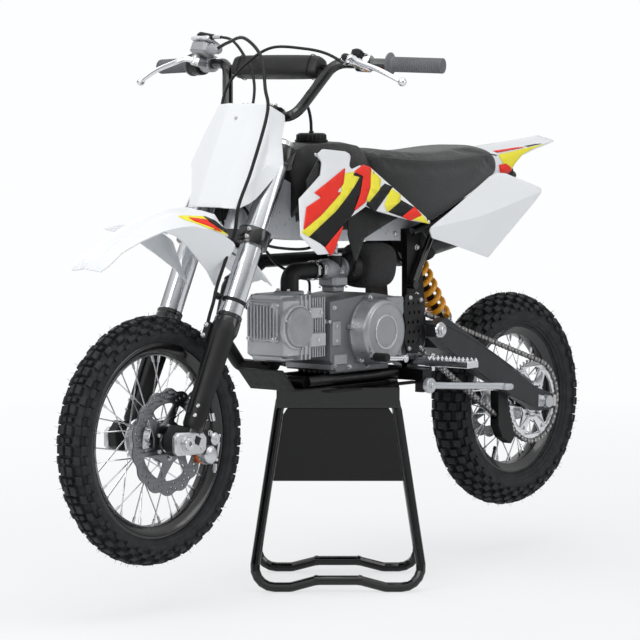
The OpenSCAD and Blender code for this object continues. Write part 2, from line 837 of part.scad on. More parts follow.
module fuel_tank() color([0.07, 0.07, 0.08]) {
    nose_y = steered(0, fork_tube_top)[0] + 52;
    intersection() {
        plate_x(-tank_side_x, tank_side_x, [
            [nose_y + 18, 876], [nose_y + 40, 884], [-20, 884], [34, 868],
            [34, spar_top(34) + seat_gap], [-120, spar_top(-120) + seat_gap],
            [nose_y, spar_top(nose_y) + seat_gap]
        ]);
        translate([0, 40, 0]) rotate([90, 0, 0]) linear_extrude(260) polygon(concat(
            tank_side, [for (i = [len(tank_side) - 1:-1:0]) [-tank_side[i][0], tank_side[i][1]]]
        ));
    }
}

module fuel_cap() color([0.09, 0.09, 0.1]) {
    translate([0, -86, 884 + seat_gap]) {
        cylinder(h = 18, r = 30);
        cylinder(h = 84, r = 3.5);
    }
}

module seat() color([0.16, 0.16, 0.17]) {
    half = seat_w / 2;
    intersection() {
        plate_x(-half, half, [
            [34.4, seat_top_z + 10], [80, seat_top_z - 2], [280, seat_top_z], [400, seat_top_z + 4],
            [430, seat_top_z - 16], [404, 806], [404, rail_top(404)],
            [240, rail_top(240)], [190, spar_top(190) + 2], [34.4, spar_top(34.4) + seat_gap]
        ]);
        linear_extrude(900) polygon([
            [-58, 30], [58, 30], [half, 180], [half, 300], [half - 20, 440], [20 - half, 440],
            [-half, 300], [-half, 180]
        ]);
    }
}

// Shroud wall: plan line of its inner face, and how far and about what height it leans
shroud_line = [[172, -330], [156, -100], [132, 170]];
shroud_lean = 18;
shroud_base_z = 660;

// Inner face of the shroud wall at a given place
function shroud_x(y, z) =
    let (i = y < shroud_line[1][1] ? 0 : 1, p = shroud_line[i], q = shroud_line[i + 1])
    (p[0] + (y - p[1]) * (q[0] - p[0]) / (q[1] - p[1])) / cos(shroud_lean)
    - (z - shroud_base_z) * tan(shroud_lean);

// Left shroud: a side outline cut from a leaning folded wall, with two bosses onto the tank
module shroud_blade() {
    intersection() {
        plate_x(40, 220, [
            [-221, 863], [-178, 873], [-83, 867], [-75, 859], [-100, 825], [-34, 838],
            [9, 834], [157, 714], [-34, 746], [-147, 733], [-214, 660], [-313, 707],
            [-296, 775], [-233, 805], [-203, 852]
        ]);
        translate([0, 0, shroud_base_z]) rotate([0, -shroud_lean, 0]) translate([0, 0, -60]) {
            linear_extrude(320) polygon(concat(
                [for (p = shroud_line) p + [panel_t, 0]],
                [for (i = [2:-1:0]) shroud_line[i]]
            ));
        }
    }
    boss_z = 802;
    for (y = [-110, 0]) translate([0, y, boss_z]) {
        disc_x(tank_side_x + seat_gap, shroud_x(y, boss_z) + panel_t / 2, 5);
    }
}

module left_shroud() color([0.9, 0.12, 0.08]) {
    shroud_blade();
}

module right_shroud() color([0.9, 0.12, 0.08]) {
    mirror([1, 0, 0]) shroud_blade();
}

// Left side panel with two pegs onto the seat rail
module side_blade() {
    plate_x(side_panel_x - panel_t, side_panel_x, [
        [160, 706], [250, 744], [402, 802], [520, 800], [552, 779], [510, 737], [452, 684],
        [374, 632], [226, 682]
    ]);
    for (y = [300, 440]) translate([0, y, rail_z(y)]) {
        disc_x(rail_x + rail_r + seat_gap, side_panel_x - 1, 6);
    }
}

module left_side_panel() color([0.93, 0.94, 0.95]) {
    side_blade();
}

module right_side_panel() color([0.93, 0.94, 0.95]) {
    mirror([1, 0, 0]) side_blade();
}

module rear_fender() color([0.93, 0.94, 0.95]) {
    intersection() {
        plate_x(-90, 90, [
            [431, 843], [560, 860], [700, 882], [702, 877], [600, 848], [520, 824],
            [508, rail_top(508)], [406, rail_top(406)]
        ]);
        linear_extrude(900) polygon([
            [-88, 400], [88, 400], [80, 520], [46, 702], [-46, 702], [-80, 520]
        ]);
    }
}

// ---------- running gear ----------

module swingarm() color([0.2, 0.2, 0.21]) {
    difference() {
        union() {
            both_sides() {
                plate_x(arm_in, arm_out, [
                    [188, 500], [230, 512], [330, 462], [rear_axle_y - 30, 342],
                    [rear_axle_y + 36, 322], [rear_axle_y + 36, 292], [rear_axle_y - 24, 290],
                    [330, 392], [240, 440], [190, 474]
                ]);
                at_pivot() disc_x(upright_out + 1, arm_in + 1, 19);
                plate_x(0, arm_in + 1, [[236, 470], [300, 446], [300, 418], [236, 446]]);
            }
            plate_x(-16, 16, [[300, 440], [330, 470], [366, 486], [372, 462], [300, 424]]);
        }
        at_pivot() disc_x(-axle_end, axle_end, pivot_d / 2 + seat_gap);
        at_rear_axle() disc_x(-axle_end, axle_end, rear_axle_d / 2 + seat_gap);
    }
}

// Rear axle, its spacers, and the swingarm pivot bolt
module rear_axle() color([0.6, 0.6, 0.62]) {
    at_rear_axle() {
        disc_x(-axle_end, axle_end, rear_axle_d / 2);
        disc_x(arm_out + seat_gap, axle_end, 13);
        disc_x(-axle_end, -arm_out - seat_gap, 13);
        disc_x(sprocket_x + sprocket_t + 1, arm_in - seat_gap, 12);
        disc_x(-arm_in + seat_gap, rear_disc_x - disc_t - 1, 12);
    }
    at_pivot() {
        disc_x(-arm_out - 9, arm_out + 9, pivot_d / 2);
        disc_x(arm_out + seat_gap, arm_out + 9, 13);
        disc_x(-arm_out - 9, -arm_out - seat_gap, 13);
    }
}

shock_top = [0, 212, 686];
shock_low = [0, 352, 492];

module shock_absorber() color([0.09, 0.09, 0.1]) {
    span = norm(shock_low - shock_top);
    along(shock_top, shock_low) {
        cylinder(h = 58, r = 19);
        translate([0, 0, 58]) cylinder(h = 5, r = spring_d / 2);
        translate([0, 0, 63]) cylinder(h = span - 63, r = 9);
        translate([0, 0, span - 12]) cylinder(h = 8, r = spring_d / 2);
    }
}

// Shock spring: a wire swept along a helix between its seats
spring_turns = 6;
spring_steps = 18;
spring_start = 63 + spring_wire_d / 2 + 0.4;
spring_stop = norm(shock_low - shock_top) - 12 - spring_wire_d / 2 - 0.4;

function coil_point(i) = [
    (spring_d - spring_wire_d) / 2 * cos(360 * i / spring_steps),
    (spring_d - spring_wire_d) / 2 * sin(360 * i / spring_steps),
    spring_start + (spring_stop - spring_start) * i / (spring_turns * spring_steps)
];

module shock_spring() color([0.95, 0.6, 0.1]) {
    along(shock_top, shock_low) {
        swept_tube([for (i = [0:spring_turns * spring_steps]) coil_point(i)], spring_wire_d / 2, 6);
    }
}

// Outline of a belt round two circles, the first at the origin, the second at [span, 0]
function belt(r1, r2, span, steps) =
    let (open = asin((r2 - r1) / span))
    concat(
        [for (i = [0:steps]) let (a = 90 + open + (180 - 2 * open) * i / steps) r1 * [cos(a), sin(a)]],
        [for (i = [0:steps]) let (a = -90 - open + (180 + 2 * open) * i / steps)
            [span, 0] + r2 * [cos(a), sin(a)]]
    );

module chain() color([0.3, 0.29, 0.28]) {
    dy = rear_axle_y - drive_y;
    dz = rear_axle_z - drive_z;
    rear_r = rear_sprocket_d / 2;
    at_drive() translate([chain_x - chain_w / 2, 0, 0]) rotate([90, 0, 90]) {
        rotate(atan2(dz, dy)) linear_extrude(chain_w) difference() {
            polygon(belt(drive_r + chain_h / 2, rear_r + chain_h / 2, norm([dy, dz]), 24));
            polygon(belt(drive_r - chain_h / 2, rear_r - chain_h / 2, norm([dy, dz]), 24));
        }
    }
}

// Guide round the chain's lower run, seated on the inner face of the left swingarm leg
module chain_guide() color([0.07, 0.07, 0.07]) {
    guide_in = 61;
    slot_x = chain_w / 2 + 3;
    // lower run of the chain, from where it leaves the drive sprocket to where it meets the rear one
    line = [rear_axle_y - drive_y, rear_axle_z - drive_z];
    turn = atan2(line[1], line[0]) - 90 - asin((rear_sprocket_d / 2 - drive_r) / norm(line));
    run = [
        [drive_y, drive_z] + drive_r * [cos(turn), sin(turn)],
        [rear_axle_y, rear_axle_z] + rear_sprocket_d / 2 * [cos(turn), sin(turn)]
    ];
    shift = 9;
    guide_y = rear_axle_y - 108;
    middle = [guide_y, run[0][1] + (run[1][1] - run[0][1]) * (guide_y - run[0][0]) / (run[1][0] - run[0][0])];
    difference() {
        plate_x(guide_in, arm_in - seat_gap, [
            for (p = [
                [-30, 69], [0, 69], [6, 41], [12, 15], [22, -9], [30, -35], [16, -49], [-14, -33], [-30, -5]
            ]) middle + p
        ]);
        plate_x(chain_x - slot_x, chain_x + slot_x, [
            run[0] + [0, shift], run[1] + [0, shift], run[1] - [0, shift], run[0] - [0, shift]
        ]);
    }
}

module skid_plate() color([0.2, 0.21, 0.22]) {
    plate_x(-60, 60, [
        [-246, 430], [-206, 387 - seat_gap], [100, 387 - seat_gap], [100, rest_z + seat_gap],
        [-208, rest_z + seat_gap], [-250, 428]
    ]);
}

module footpegs() color([0.6, 0.6, 0.62]) {
    both_sides() {
        block([upright_out + seat_gap, 164, 412], [112, 190, 436]);
        block([112, 148, 414], [226, 188, 434]);
    }
}

// Gear lever on the left, brake pedal and kick starter on the right
module foot_controls() color([0.5, 0.5, 0.52]) {
    translate([0, 78, 436]) disc_x(84 + seat_gap, 118, 6);
    rod([112, 78, 436], [112, -24, 446], 5);
    translate([0, -24, 446]) disc_x(108, 152, 8);
    translate([0, 120, 399]) disc_x(-112, -60 - seat_gap, 8);
    rod([-106, 120, 399], [-106, -60, 424], 5);
    block([-134, -72, 418], [-104, -48, 430]);
    translate([0, 110, 500]) disc_x(-118, -92 - seat_gap, 9);
    rod([-110, 110, 500], [-114, 150, 596], 6);
    translate([0, 150, 596]) disc_x(-158, -108, 6.6);
}

// Side stand, folded back along the left side
module side_stand() color([0.55, 0.56, 0.58]) {
    translate(side_pivot) {
        disc_x(run_gap, 12, 14);
        rod([8, 8, 0], [9, 248, -19], 7);
        block([-4, 244, -27], [24, 274, -11]);
    }
}

// ---------- paddock stand ----------

stand_r = stand_tube_d / 2;
stand_top_l = 172;
stand_plate_t = 4;
stand_flange_h = 42;
loop_rise = stand_h - stand_plate_t - 2 * stand_r - seat_gap;
loop_lean = atan((stand_base_l - stand_top_l) / 2 / loop_rise);
loop_len = loop_rise / cos(loop_lean);

// One loop of tube: two leaning legs and a bottom rail arched up in the middle
module stand_loop() {
    b = stand_base_w / 2;
    t = stand_top_w / 2;
    arch = 14;
    bent_tube([
        [-b / 4, 0, arch], [-b * 0.55, 0, 0], [-b, 0, 0], [-t, 0, loop_len], [t, 0, loop_len], [b, 0, 0],
        [b * 0.55, 0, 0], [b / 4, 0, arch]
    ], stand_r, 40);
    rod([-b / 4, 0, arch], [b / 4, 0, arch], stand_r);
}

// Places something drawn in the plane of a loop, the side towards -Y or +Y
module on_loop(side) {
    rotate(stand_turn) translate([0, side * stand_base_l / 2, stand_r]) {
        rotate([side * loop_lean, 0, 0]) children();
    }
}

// The two loops, leaning together under the plate
module stand_loops() color([0.05, 0.05, 0.06]) {
    for (side = [-1, 1]) on_loop(side) stand_loop();
}

// Half width between the legs of a loop at a height along it
function loop_gap(z) = (stand_base_w + (stand_top_w - stand_base_w) * z / loop_len) / 2
    - stand_r / cos(atan((stand_base_w - stand_top_w) / 2 / loop_len));

// Plain panel between the legs of the front loop
module stand_panel() color([0.05, 0.05, 0.06]) {
    low = 216;
    high = loop_len - 24;
    notch = 9;
    half = [loop_gap(low), loop_gap(high - 2 * notch), loop_gap(high) - notch];
    on_loop(-1) translate([0, 2, 0]) rotate([90, 0, 0]) linear_extrude(4) offset(-seat_gap) polygon([
        [-half[0], low], [half[0], low], [half[1], high - 2 * notch], [half[2], high],
        [-half[2], high], [-half[1], high - 2 * notch]
    ]);
}

module stand_top() color([0.05, 0.05, 0.06]) {
    t = stand_top_w / 2 + stand_r;
    flange_t = 3;
    // the flanges stand clear of the legs, which lean out below the plate
    half_l = stand_top_l / 2 + stand_r / cos(loop_lean) + stand_flange_h * tan(loop_lean) + flange_t + seat_gap;
    rotate(stand_turn) {
        block([-t, -half_l, stand_h - stand_plate_t], [t, half_l, stand_h]);
        block([-t, -half_l, stand_h - stand_flange_h], [t, -half_l + flange_t, stand_h]);
        block([-t, half_l - flange_t, stand_h - stand_flange_h], [t, half_l, stand_h]);
    }
}

// ---------- drawing ----------

// The bike, lifted to where its skid plate rests on the stand
module on_stand() translate([0, 0, stand_h - rest_z]) children();

on_stand() main_frame();
on_stand() subframe();
on_stand() engine_case();
on_stand() cylinder_head();
on_stand() engine_covers();
on_stand() exhaust_pipe();
on_stand() silencer();
on_stand() carburettor();
on_stand() air_filter();
on_stand() fuel_tank();
on_stand() fuel_cap();
on_stand() seat();
on_stand() left_shroud();
on_stand() right_shroud();
on_stand() left_side_panel();
on_stand() right_side_panel();
on_stand() rear_fender();
on_stand() swingarm();
on_stand() rear_axle();
on_stand() shock_absorber();
on_stand() shock_spring();
on_stand() chain();
on_stand() chain_guide();
on_stand() skid_plate();
on_stand() footpegs();
on_stand() foot_controls();
on_stand() rear_caliper();
stand_loops();
stand_top();
stand_panel();
on_stand() triple_clamps();
on_stand() fork_tubes();
on_stand() fork_legs();
on_stand() front_fender();
on_stand() number_plate();
on_stand() handlebar();
on_stand() bar_pad();
on_stand() grips();
on_stand() clutch_lever();
on_stand() brake_lever();
on_stand() front_caliper();
on_stand() front_brake_hose();
on_stand() throttle_cable();
on_stand() clutch_cable();
on_stand() throttle_cable_lower();
on_stand() clutch_cable_lower();
on_stand() front_axle();
on_stand() front_tyre();
on_stand() front_rim();
on_stand() front_hub();
on_stand() front_disc();
on_stand() rear_tyre();
on_stand() rear_rim();
on_stand() rear_hub();
on_stand() rear_disc();
on_stand() rear_sprocket();
on_stand() side_stand();
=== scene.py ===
import bpy
import bmesh
import json
import random
from math import acos, asin, atan2, copysign, cos, exp, hypot, pi, radians, sin, tan, tau
from mathutils import Matrix, Vector


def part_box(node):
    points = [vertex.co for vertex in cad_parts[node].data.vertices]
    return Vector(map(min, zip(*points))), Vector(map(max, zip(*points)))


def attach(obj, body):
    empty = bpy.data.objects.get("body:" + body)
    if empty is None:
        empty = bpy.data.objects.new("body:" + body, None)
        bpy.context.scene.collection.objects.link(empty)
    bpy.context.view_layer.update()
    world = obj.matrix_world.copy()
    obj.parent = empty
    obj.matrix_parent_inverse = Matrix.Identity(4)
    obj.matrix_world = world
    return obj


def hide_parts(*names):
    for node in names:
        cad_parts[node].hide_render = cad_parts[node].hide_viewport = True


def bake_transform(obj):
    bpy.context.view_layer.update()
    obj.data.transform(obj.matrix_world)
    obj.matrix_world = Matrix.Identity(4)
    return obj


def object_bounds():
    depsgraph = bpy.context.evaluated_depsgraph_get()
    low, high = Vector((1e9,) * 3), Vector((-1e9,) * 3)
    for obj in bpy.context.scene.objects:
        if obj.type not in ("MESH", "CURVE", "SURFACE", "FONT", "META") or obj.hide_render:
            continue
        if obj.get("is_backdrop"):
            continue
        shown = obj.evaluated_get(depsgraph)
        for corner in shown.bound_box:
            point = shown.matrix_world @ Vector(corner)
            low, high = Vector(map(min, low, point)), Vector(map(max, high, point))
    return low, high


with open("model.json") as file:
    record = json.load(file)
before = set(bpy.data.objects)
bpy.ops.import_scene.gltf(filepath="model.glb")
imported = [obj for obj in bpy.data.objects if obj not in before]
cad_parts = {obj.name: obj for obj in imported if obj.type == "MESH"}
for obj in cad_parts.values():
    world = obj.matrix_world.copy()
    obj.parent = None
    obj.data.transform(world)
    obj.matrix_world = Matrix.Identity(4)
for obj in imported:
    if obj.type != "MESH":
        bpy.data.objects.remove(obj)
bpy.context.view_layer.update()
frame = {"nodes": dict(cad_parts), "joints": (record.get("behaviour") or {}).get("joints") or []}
nodes = frame["nodes"]
joints = {j["name"]: j for j in frame["joints"]}
MM = 0.001
X, Y, Z = (1, 0, 0), (0, 1, 0), (0, 0, 1)
SIDES = ((1, "left"), (-1, "right"))

# ---------- places, in millimetres ----------

# Heights are those of the bike's own frame. The stand's top plate, at REST there, is higher over the floor.
REST = 384
LIFT = Vector((0, 0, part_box("stand_top")[1].z / MM - REST))


def corners(node):
    return [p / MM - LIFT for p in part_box(node)]


def middle(node):
    low, high = corners(node)
    return (low + high) / 2


def joint_at(name):
    return Vector(joints[name]["pos_m"]) / MM - LIFT


foot = joint_at("steering_head")
axis = joints["steering_head"]["axis"]
STEER = Matrix.Translation(foot) @ Matrix.Rotation(-atan2(axis[1], axis[2]), 4, "X")
front_axle, rear_axle = middle("front_rim"), middle("rear_rim")
front_axle.x = rear_axle.x = 0
FRONT, REAR = Matrix.Translation(front_axle), Matrix.Translation(rear_axle)
HERE = Matrix.Identity(4)


def steered(p):
    return STEER @ Vector(p)


# ---------- making meshes ----------


class Form:
    """A mesh being made, in millimetres. Faces take the finish that use() names last."""

    def __init__(self, place=HERE):
        self.points, self.faces, self.marks = [], [], []
        self.place, self.mark = place, 0

    def use(self, mark):
        self.mark = mark
        return self

    def add(self, points, faces, place=None):
        base = len(self.points)
        to = self.place @ place if place is not None else self.place
        self.points += [to @ Vector(p) for p in points]
        self.faces += [[base + i for i in f] for f in faces]
        self.marks += [self.mark] * len(faces)
        return self

    def loft(self, rings, cap=True, ring=True, loop=False, place=None):
        """Skin over rings of equally many points. ring closes each ring, loop joins the last to the first."""
        n, count = len(rings[0]), len(rings)
        faces = []
        for i in range(count if loop else count - 1):
            a, b = i * n, (i + 1) % count * n
            for k in range(n if ring else n - 1):
                m = (k + 1) % n
                faces.append([a + k, a + m, b + m, b + k])
        if cap and ring and not loop:
            faces.append(list(range(n - 1, -1, -1)))
            faces.append([(count - 1) * n + k for k in range(n)])
        return self.add([p for r in rings for p in r], faces, place)

    def turn(self, profile, at=(0, 0, 0), axis=X, steps=40, loop=False, place=None):
        """Turned shape: (along, radius) pairs round an axis."""
        axis = Vector(axis).normalized()
        side = axis.cross(Vector(Z) if abs(axis.z) < 0.9 else Vector(Y)).normalized()
        up = axis.cross(side)
        at = Vector(at)
        rings = []
        for k in range(steps):
            a = tau * k / steps
            out = side * cos(a) + up * sin(a)
            rings.append([at + axis * s + out * r for s, r in profile])
        n = len(profile)
        self.loft(rings, cap=False, ring=loop, loop=True, place=place)
        if not loop:
            for end in (0, n - 1):
                if profile[end][1] > 0.01:
                    self.add([r[end] for r in rings], [list(range(steps))], place)
        return self

    def bar(self, p, q, r, r2=None, steps=16, edge=None):
        """Round bar from p to q with a small chamfer at each end."""
        p, q = Vector(p), Vector(q)
        h = (q - p).length
        r2 = r if r2 is None else r2
        e = min(0.8, r * 0.25, h * 0.3) if edge is None else edge
        return self.turn([(0, r - e), (e, r), (h - e, r2), (h, r2 - e)], p, q - p, steps)

    def tube(self, path, r, sides=10, cap=True, closed=False):
        """Round tube along points; r is one radius or one for each point."""
        path = [Vector(p) for p in path]
        last = len(path) - 1
        rings, n = [], None
        for i, p in enumerate(path):
            t = (path[(i + 1) % len(path) if closed else min(i + 1, last)]
                 - path[(i - 1) if closed else max(i - 1, 0)]).normalized()
            n = n or (Vector(X) if abs(t.x) < 0.7 else Vector(Y))
            n = (n - t * n.dot(t)).normalized()
            b = t.cross(n)
            w = r[i] if isinstance(r, (list, tuple)) else r
            rings.append([p + (n * cos(tau * k / sides) + b * sin(tau * k / sides)) * w
                          for k in range(sides)])
        return self.loft(rings, cap=cap, loop=closed)

    def box(self, low, high, e=1.2, place=None):
        """Block with chamfered edges."""
        c = [(a + b) / 2 for a, b in zip(low, high)]
        h = [(b - a) / 2 for a, b in zip(low, high)]
        e = min([e] + [x * 0.45 for x in h])
        rings = []
        for z, k in ((-h[2], e), (-h[2] + e, 0), (h[2] - e, 0), (h[2], e)):
            x, y, m = h[0] - k, h[1] - k, e
            rings.append([(c[0] + a, c[1] + b, c[2] + z)
                          for a, b in ((x - m, -y), (x, -y + m), (x, y - m), (x - m, y), (-x + m, y),
                                       (-x, y - m), (-x, -y + m), (-x + m, -y))])
        return self.loft(rings, place=place)

    def slab(self, outline, x0, x1, e=0.8, place=None):
        """Plate with a (y, z) outline between two x values; the edges are chamfered."""
        rings = [[(x, p[0], p[1]) for p in (inset(outline, k) if k else outline)]
                 for x, k in ((x0, e), (x0 + e, 0), (x1 - e, 0), (x1, e))]
        return self.loft(rings, place=place)

    def bolt(self, p, axis, size=5, h=4, hexagon=True):
        """Bolt head with a washer face and a socket in it."""
        axis = Vector(axis).normalized()
        p = Vector(p)
        self.turn([(0, size * 1.15), (0.8, size * 1.15), (0.8, 0)], p, axis, 18)
        steps = 6 if hexagon else 18
        self.turn([(0.6, size * 0.95), (h - 0.7, size * 0.95), (h, size * 0.78), (h, size * 0.5),
                   (h - min(2, h * 0.5), size * 0.45), (h - min(2, h * 0.5), 0)], p, axis, steps)
        return self

    def bolts(self, axis, size, h, *points):
        for p in points:
            self.bolt(p, axis, size, h)
        return self

    def ribs(self, count, low, high, step, e):
        """Row of equal blocks, each one step from the last."""
        for k in range(count):
            self.box([a + k * d for a, d in zip(low, step)], [b + k * d for b, d in zip(high, step)], e)
        return self

    def band(self, at, axis, inner, outer, width, steps=32):
        """Flat ring round an axis."""
        profile = [(0, inner), (0, outer), (width, outer), (width, inner)]
        return self.turn(profile, at, axis, steps, loop=True)

    def beads(self, count, at, step, profile):
        """Turned rings along the x axis, each one step from the last."""
        for k in range(count):
            self.turn(profile, (at[0] + k * step, *at[1:]), X, 20)
        return self


def across(half, y):
    """Closed ring from its half as (x, z) pairs, from the top down."""
    return [(x, y, z) for x, z in half] + [(-x, y, z) for x, z in reversed(half[1:])]


def inset(outline, k):
    """A closed outline moved inward by k."""
    n = len(outline)
    area = sum(outline[i][0] * outline[(i + 1) % n][1] - outline[(i + 1) % n][0] * outline[i][1]
               for i in range(n))
    s = 1 if area > 0 else -1
    made = []
    for i in range(n):
        a, b, c = (Vector(outline[j][:2]) for j in ((i - 1) % n, i, (i + 1) % n))
        u, w = (b - a).normalized(), (c - b).normalized()
        nu, nw = Vector((-u.y, u.x)) * s, Vector((-w.y, w.x)) * s
        m = nu + nw
        m = m / max(m.length_squared / 2, 0.25)
        made.append((b.x + m.x * k, b.y + m.y * k))
    return made


def rounded(path, bend, steps=5, closed=False):
    """Path with its corners rounded."""
    path = [Vector(p) for p in path]
    n = len(path)
    made = [] if closed else [path[0]]
    for i in range(n if closed else n - 2):
        a, b, c = (path[(i + j) % n] for j in (0, 1, 2))
        u, w = (a - b).normalized(), (c - b).normalized()
        half = acos(max(-1, min(1, u.dot(w)))) / 2
        if half > 1.55:
            made.append(b)
            continue
        r = min(bend, 0.49 * min((a - b).length, (c - b).length) * tan(half))
        mid = b + (u + w).normalized() * r / sin(half)
        s, e = b + u * r / tan(half) - mid, b + w * r / tan(half) - mid
        turn = s.angle(e) if s.length > 1e-6 else 0
        for k in range(steps + 1):
            t = k / steps
            v = (s * sin((1 - t) * turn) + e * sin(t * turn)) / sin(turn) if turn > 1e-4 else s
            made.append(mid + v)
    return made if closed else made + [path[-1]]


def smooth_path(points, per=6):
    """Flowing curve through every point."""
    p = [Vector(x) for x in points]
    p = [p[0] * 2 - p[1]] + p + [p[-1] * 2 - p[-2]]
    made = []
    for i in range(1, len(p) - 2):
        a, b, c, d = p[i - 1:i + 3]
        for k in range(per):
            t = k / per
            made.append(0.5 * (2 * b + (c - a) * t + (2 * a - 5 * b + 4 * c - d) * t * t
                               + (3 * b - a - 3 * c + d) * t ** 3))
    return made + [p[-2]]


def link(name, mesh, finishes):
    piece = bpy.data.objects.new(name, mesh)
    bpy.context.scene.collection.objects.link(piece)
    for f in finishes if isinstance(finishes, (list, tuple)) else [finishes]:
        mesh.materials.append(f)
    return piece


def soften(mesh, angle):
    mesh.shade_smooth()
    mesh.set_sharp_from_angle(angle=radians(angle))


def clean(mesh, slivers=False):
    """Joins points that meet and turns every face outward."""
    bm = bmesh.new()
    bm.from_mesh(mesh)
    bmesh.ops.remove_doubles(bm, verts=bm.verts, dist=1e-6)
    if slivers:
        bmesh.ops.dissolve_degenerate(bm, edges=bm.edges, dist=1e-7)
    bmesh.ops.recalc_face_normals(bm, faces=bm.faces)
    bm.to_mesh(mesh)
    bm.free()


def wall(piece, thick):
    m = piece.modifiers.new("wall", "SOLIDIFY")
    m.thickness, m.offset = thick * MM, -1


def round_edges(piece, width, angle=40):
    m = piece.modifiers.new("edges", "BEVEL")
    m.width, m.segments, m.limit_method, m.angle_limit = width * MM, 2, "ANGLE", radians(angle)
    return m


def subdivide(piece, levels, name="smooth"):
    m = piece.modifiers.new(name, "SUBSURF")
    m.levels = m.render_levels = levels


def placed(piece, body, stands_for):
    """Puts a piece on its body and hides the nodes that it takes over."""
    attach(piece, body)
    if stands_for:
        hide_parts(*stands_for)
    return piece


def mesh_of(form, name, finishes):
    mesh = bpy.data.meshes.new(name)
    mesh.from_pydata([(p + LIFT) * MM for p in form.points], [], form.faces)
    piece = link(name, mesh, finishes)
    mesh.polygons.foreach_set("material_index", form.marks)
    return piece


def made(form, name, body, finishes, slot=None, bevel=0, smooth=0, sharp=38, stands_for=()):
    """Turns a Form into a piece on a body. bevel is in millimetres."""
    piece = mesh_of(form, name, finishes)
    clean(piece.data, slivers=True)
    soften(piece.data, sharp)
    if bevel:
        round_edges(piece, bevel).harden_normals = False
    if smooth:
        subdivide(piece, smooth)
    return placed(piece, body, stands_for)


def cut(name, outlines, x0, x1, body, finishes, edge=0.5, place=HERE, stands_for=()):
    """Flat plate with holes: the first outline is the rim, the rest are holes, in (y, z)."""
    curve = bpy.data.curves.new(name, "CURVE")
    curve.dimensions, curve.fill_mode = "2D", "BOTH"
    curve.extrude = (x1 - x0) / 2 * MM - edge * MM
    curve.bevel_depth, curve.bevel_resolution = edge * MM, 1
    curve.offset = -edge * MM
    for outline in outlines:
        s = curve.splines.new("POLY")
        s.points.add(len(outline) - 1)
        for point, p in zip(s.points, outline):
            point.co = (p[0] * MM, p[1] * MM, 0, 1)
        s.use_cyclic_u = True
    temp = bpy.data.objects.new(name, curve)
    bpy.context.scene.collection.objects.link(temp)
    mesh = bpy.data.meshes.new_from_object(temp.evaluated_get(bpy.context.evaluated_depsgraph_get()))
    bpy.data.objects.remove(temp)
    mesh.name = name
    to = place @ Matrix(((0, 0, 1, (x0 + x1) / 2), (1, 0, 0, 0), (0, 1, 0, 0), (0, 0, 0, 1)))
    to.translation = (to.translation + LIFT) * MM
    mesh.transform(to)
    mesh.materials.clear()
    piece = link(name, mesh, finishes)
    clean(mesh)
    soften(mesh, 38)
    return placed(piece, body, stands_for)


def circle(cy, cz, r, steps=16):
    return [(cy + r * cos(tau * k / steps), cz + r * sin(tau * k / steps)) for k in range(steps)]


def spoke(a, r=1.0):
    """Point at an angle round the x axis."""
    return Vector((0, r * cos(a), r * sin(a)))


def squircle(n, power):
    """A square with soft corners, one unit in half width, as (across, up) pairs."""
    return [tuple(copysign(abs(c) ** power, c) for c in (cos(tau * j / n), sin(tau * j / n)))
            for j in range(n)]


# ---------- finishes ----------


class Value:
    """A socket that takes part in plain arithmetic."""

    def __init__(self, tree, socket):
        self.tree, self.socket = tree, socket

    def math(self, op, *args):
        n = self.tree.nodes.new("ShaderNodeMath")
        n.operation = op
        for i, x in enumerate(args):
            if isinstance(x, Value):
                self.tree.links.new(x.socket, n.inputs[i])
            else:
                n.inputs[i].default_value = x
        return Value(self.tree, n.outputs[0])

    def __add__(self, o): return self.math("ADD", self, o)
    def __radd__(self, o): return self.math("ADD", o, self)
    def __sub__(self, o): return self.math("SUBTRACT", self, o)
    def __rsub__(self, o): return self.math("SUBTRACT", o, self)
    def __mul__(self, o): return self.math("MULTIPLY", self, o)
    def __truediv__(self, o): return self.math("DIVIDE", self, o)
    def __pow__(self, o): return self.math("POWER", self, o)


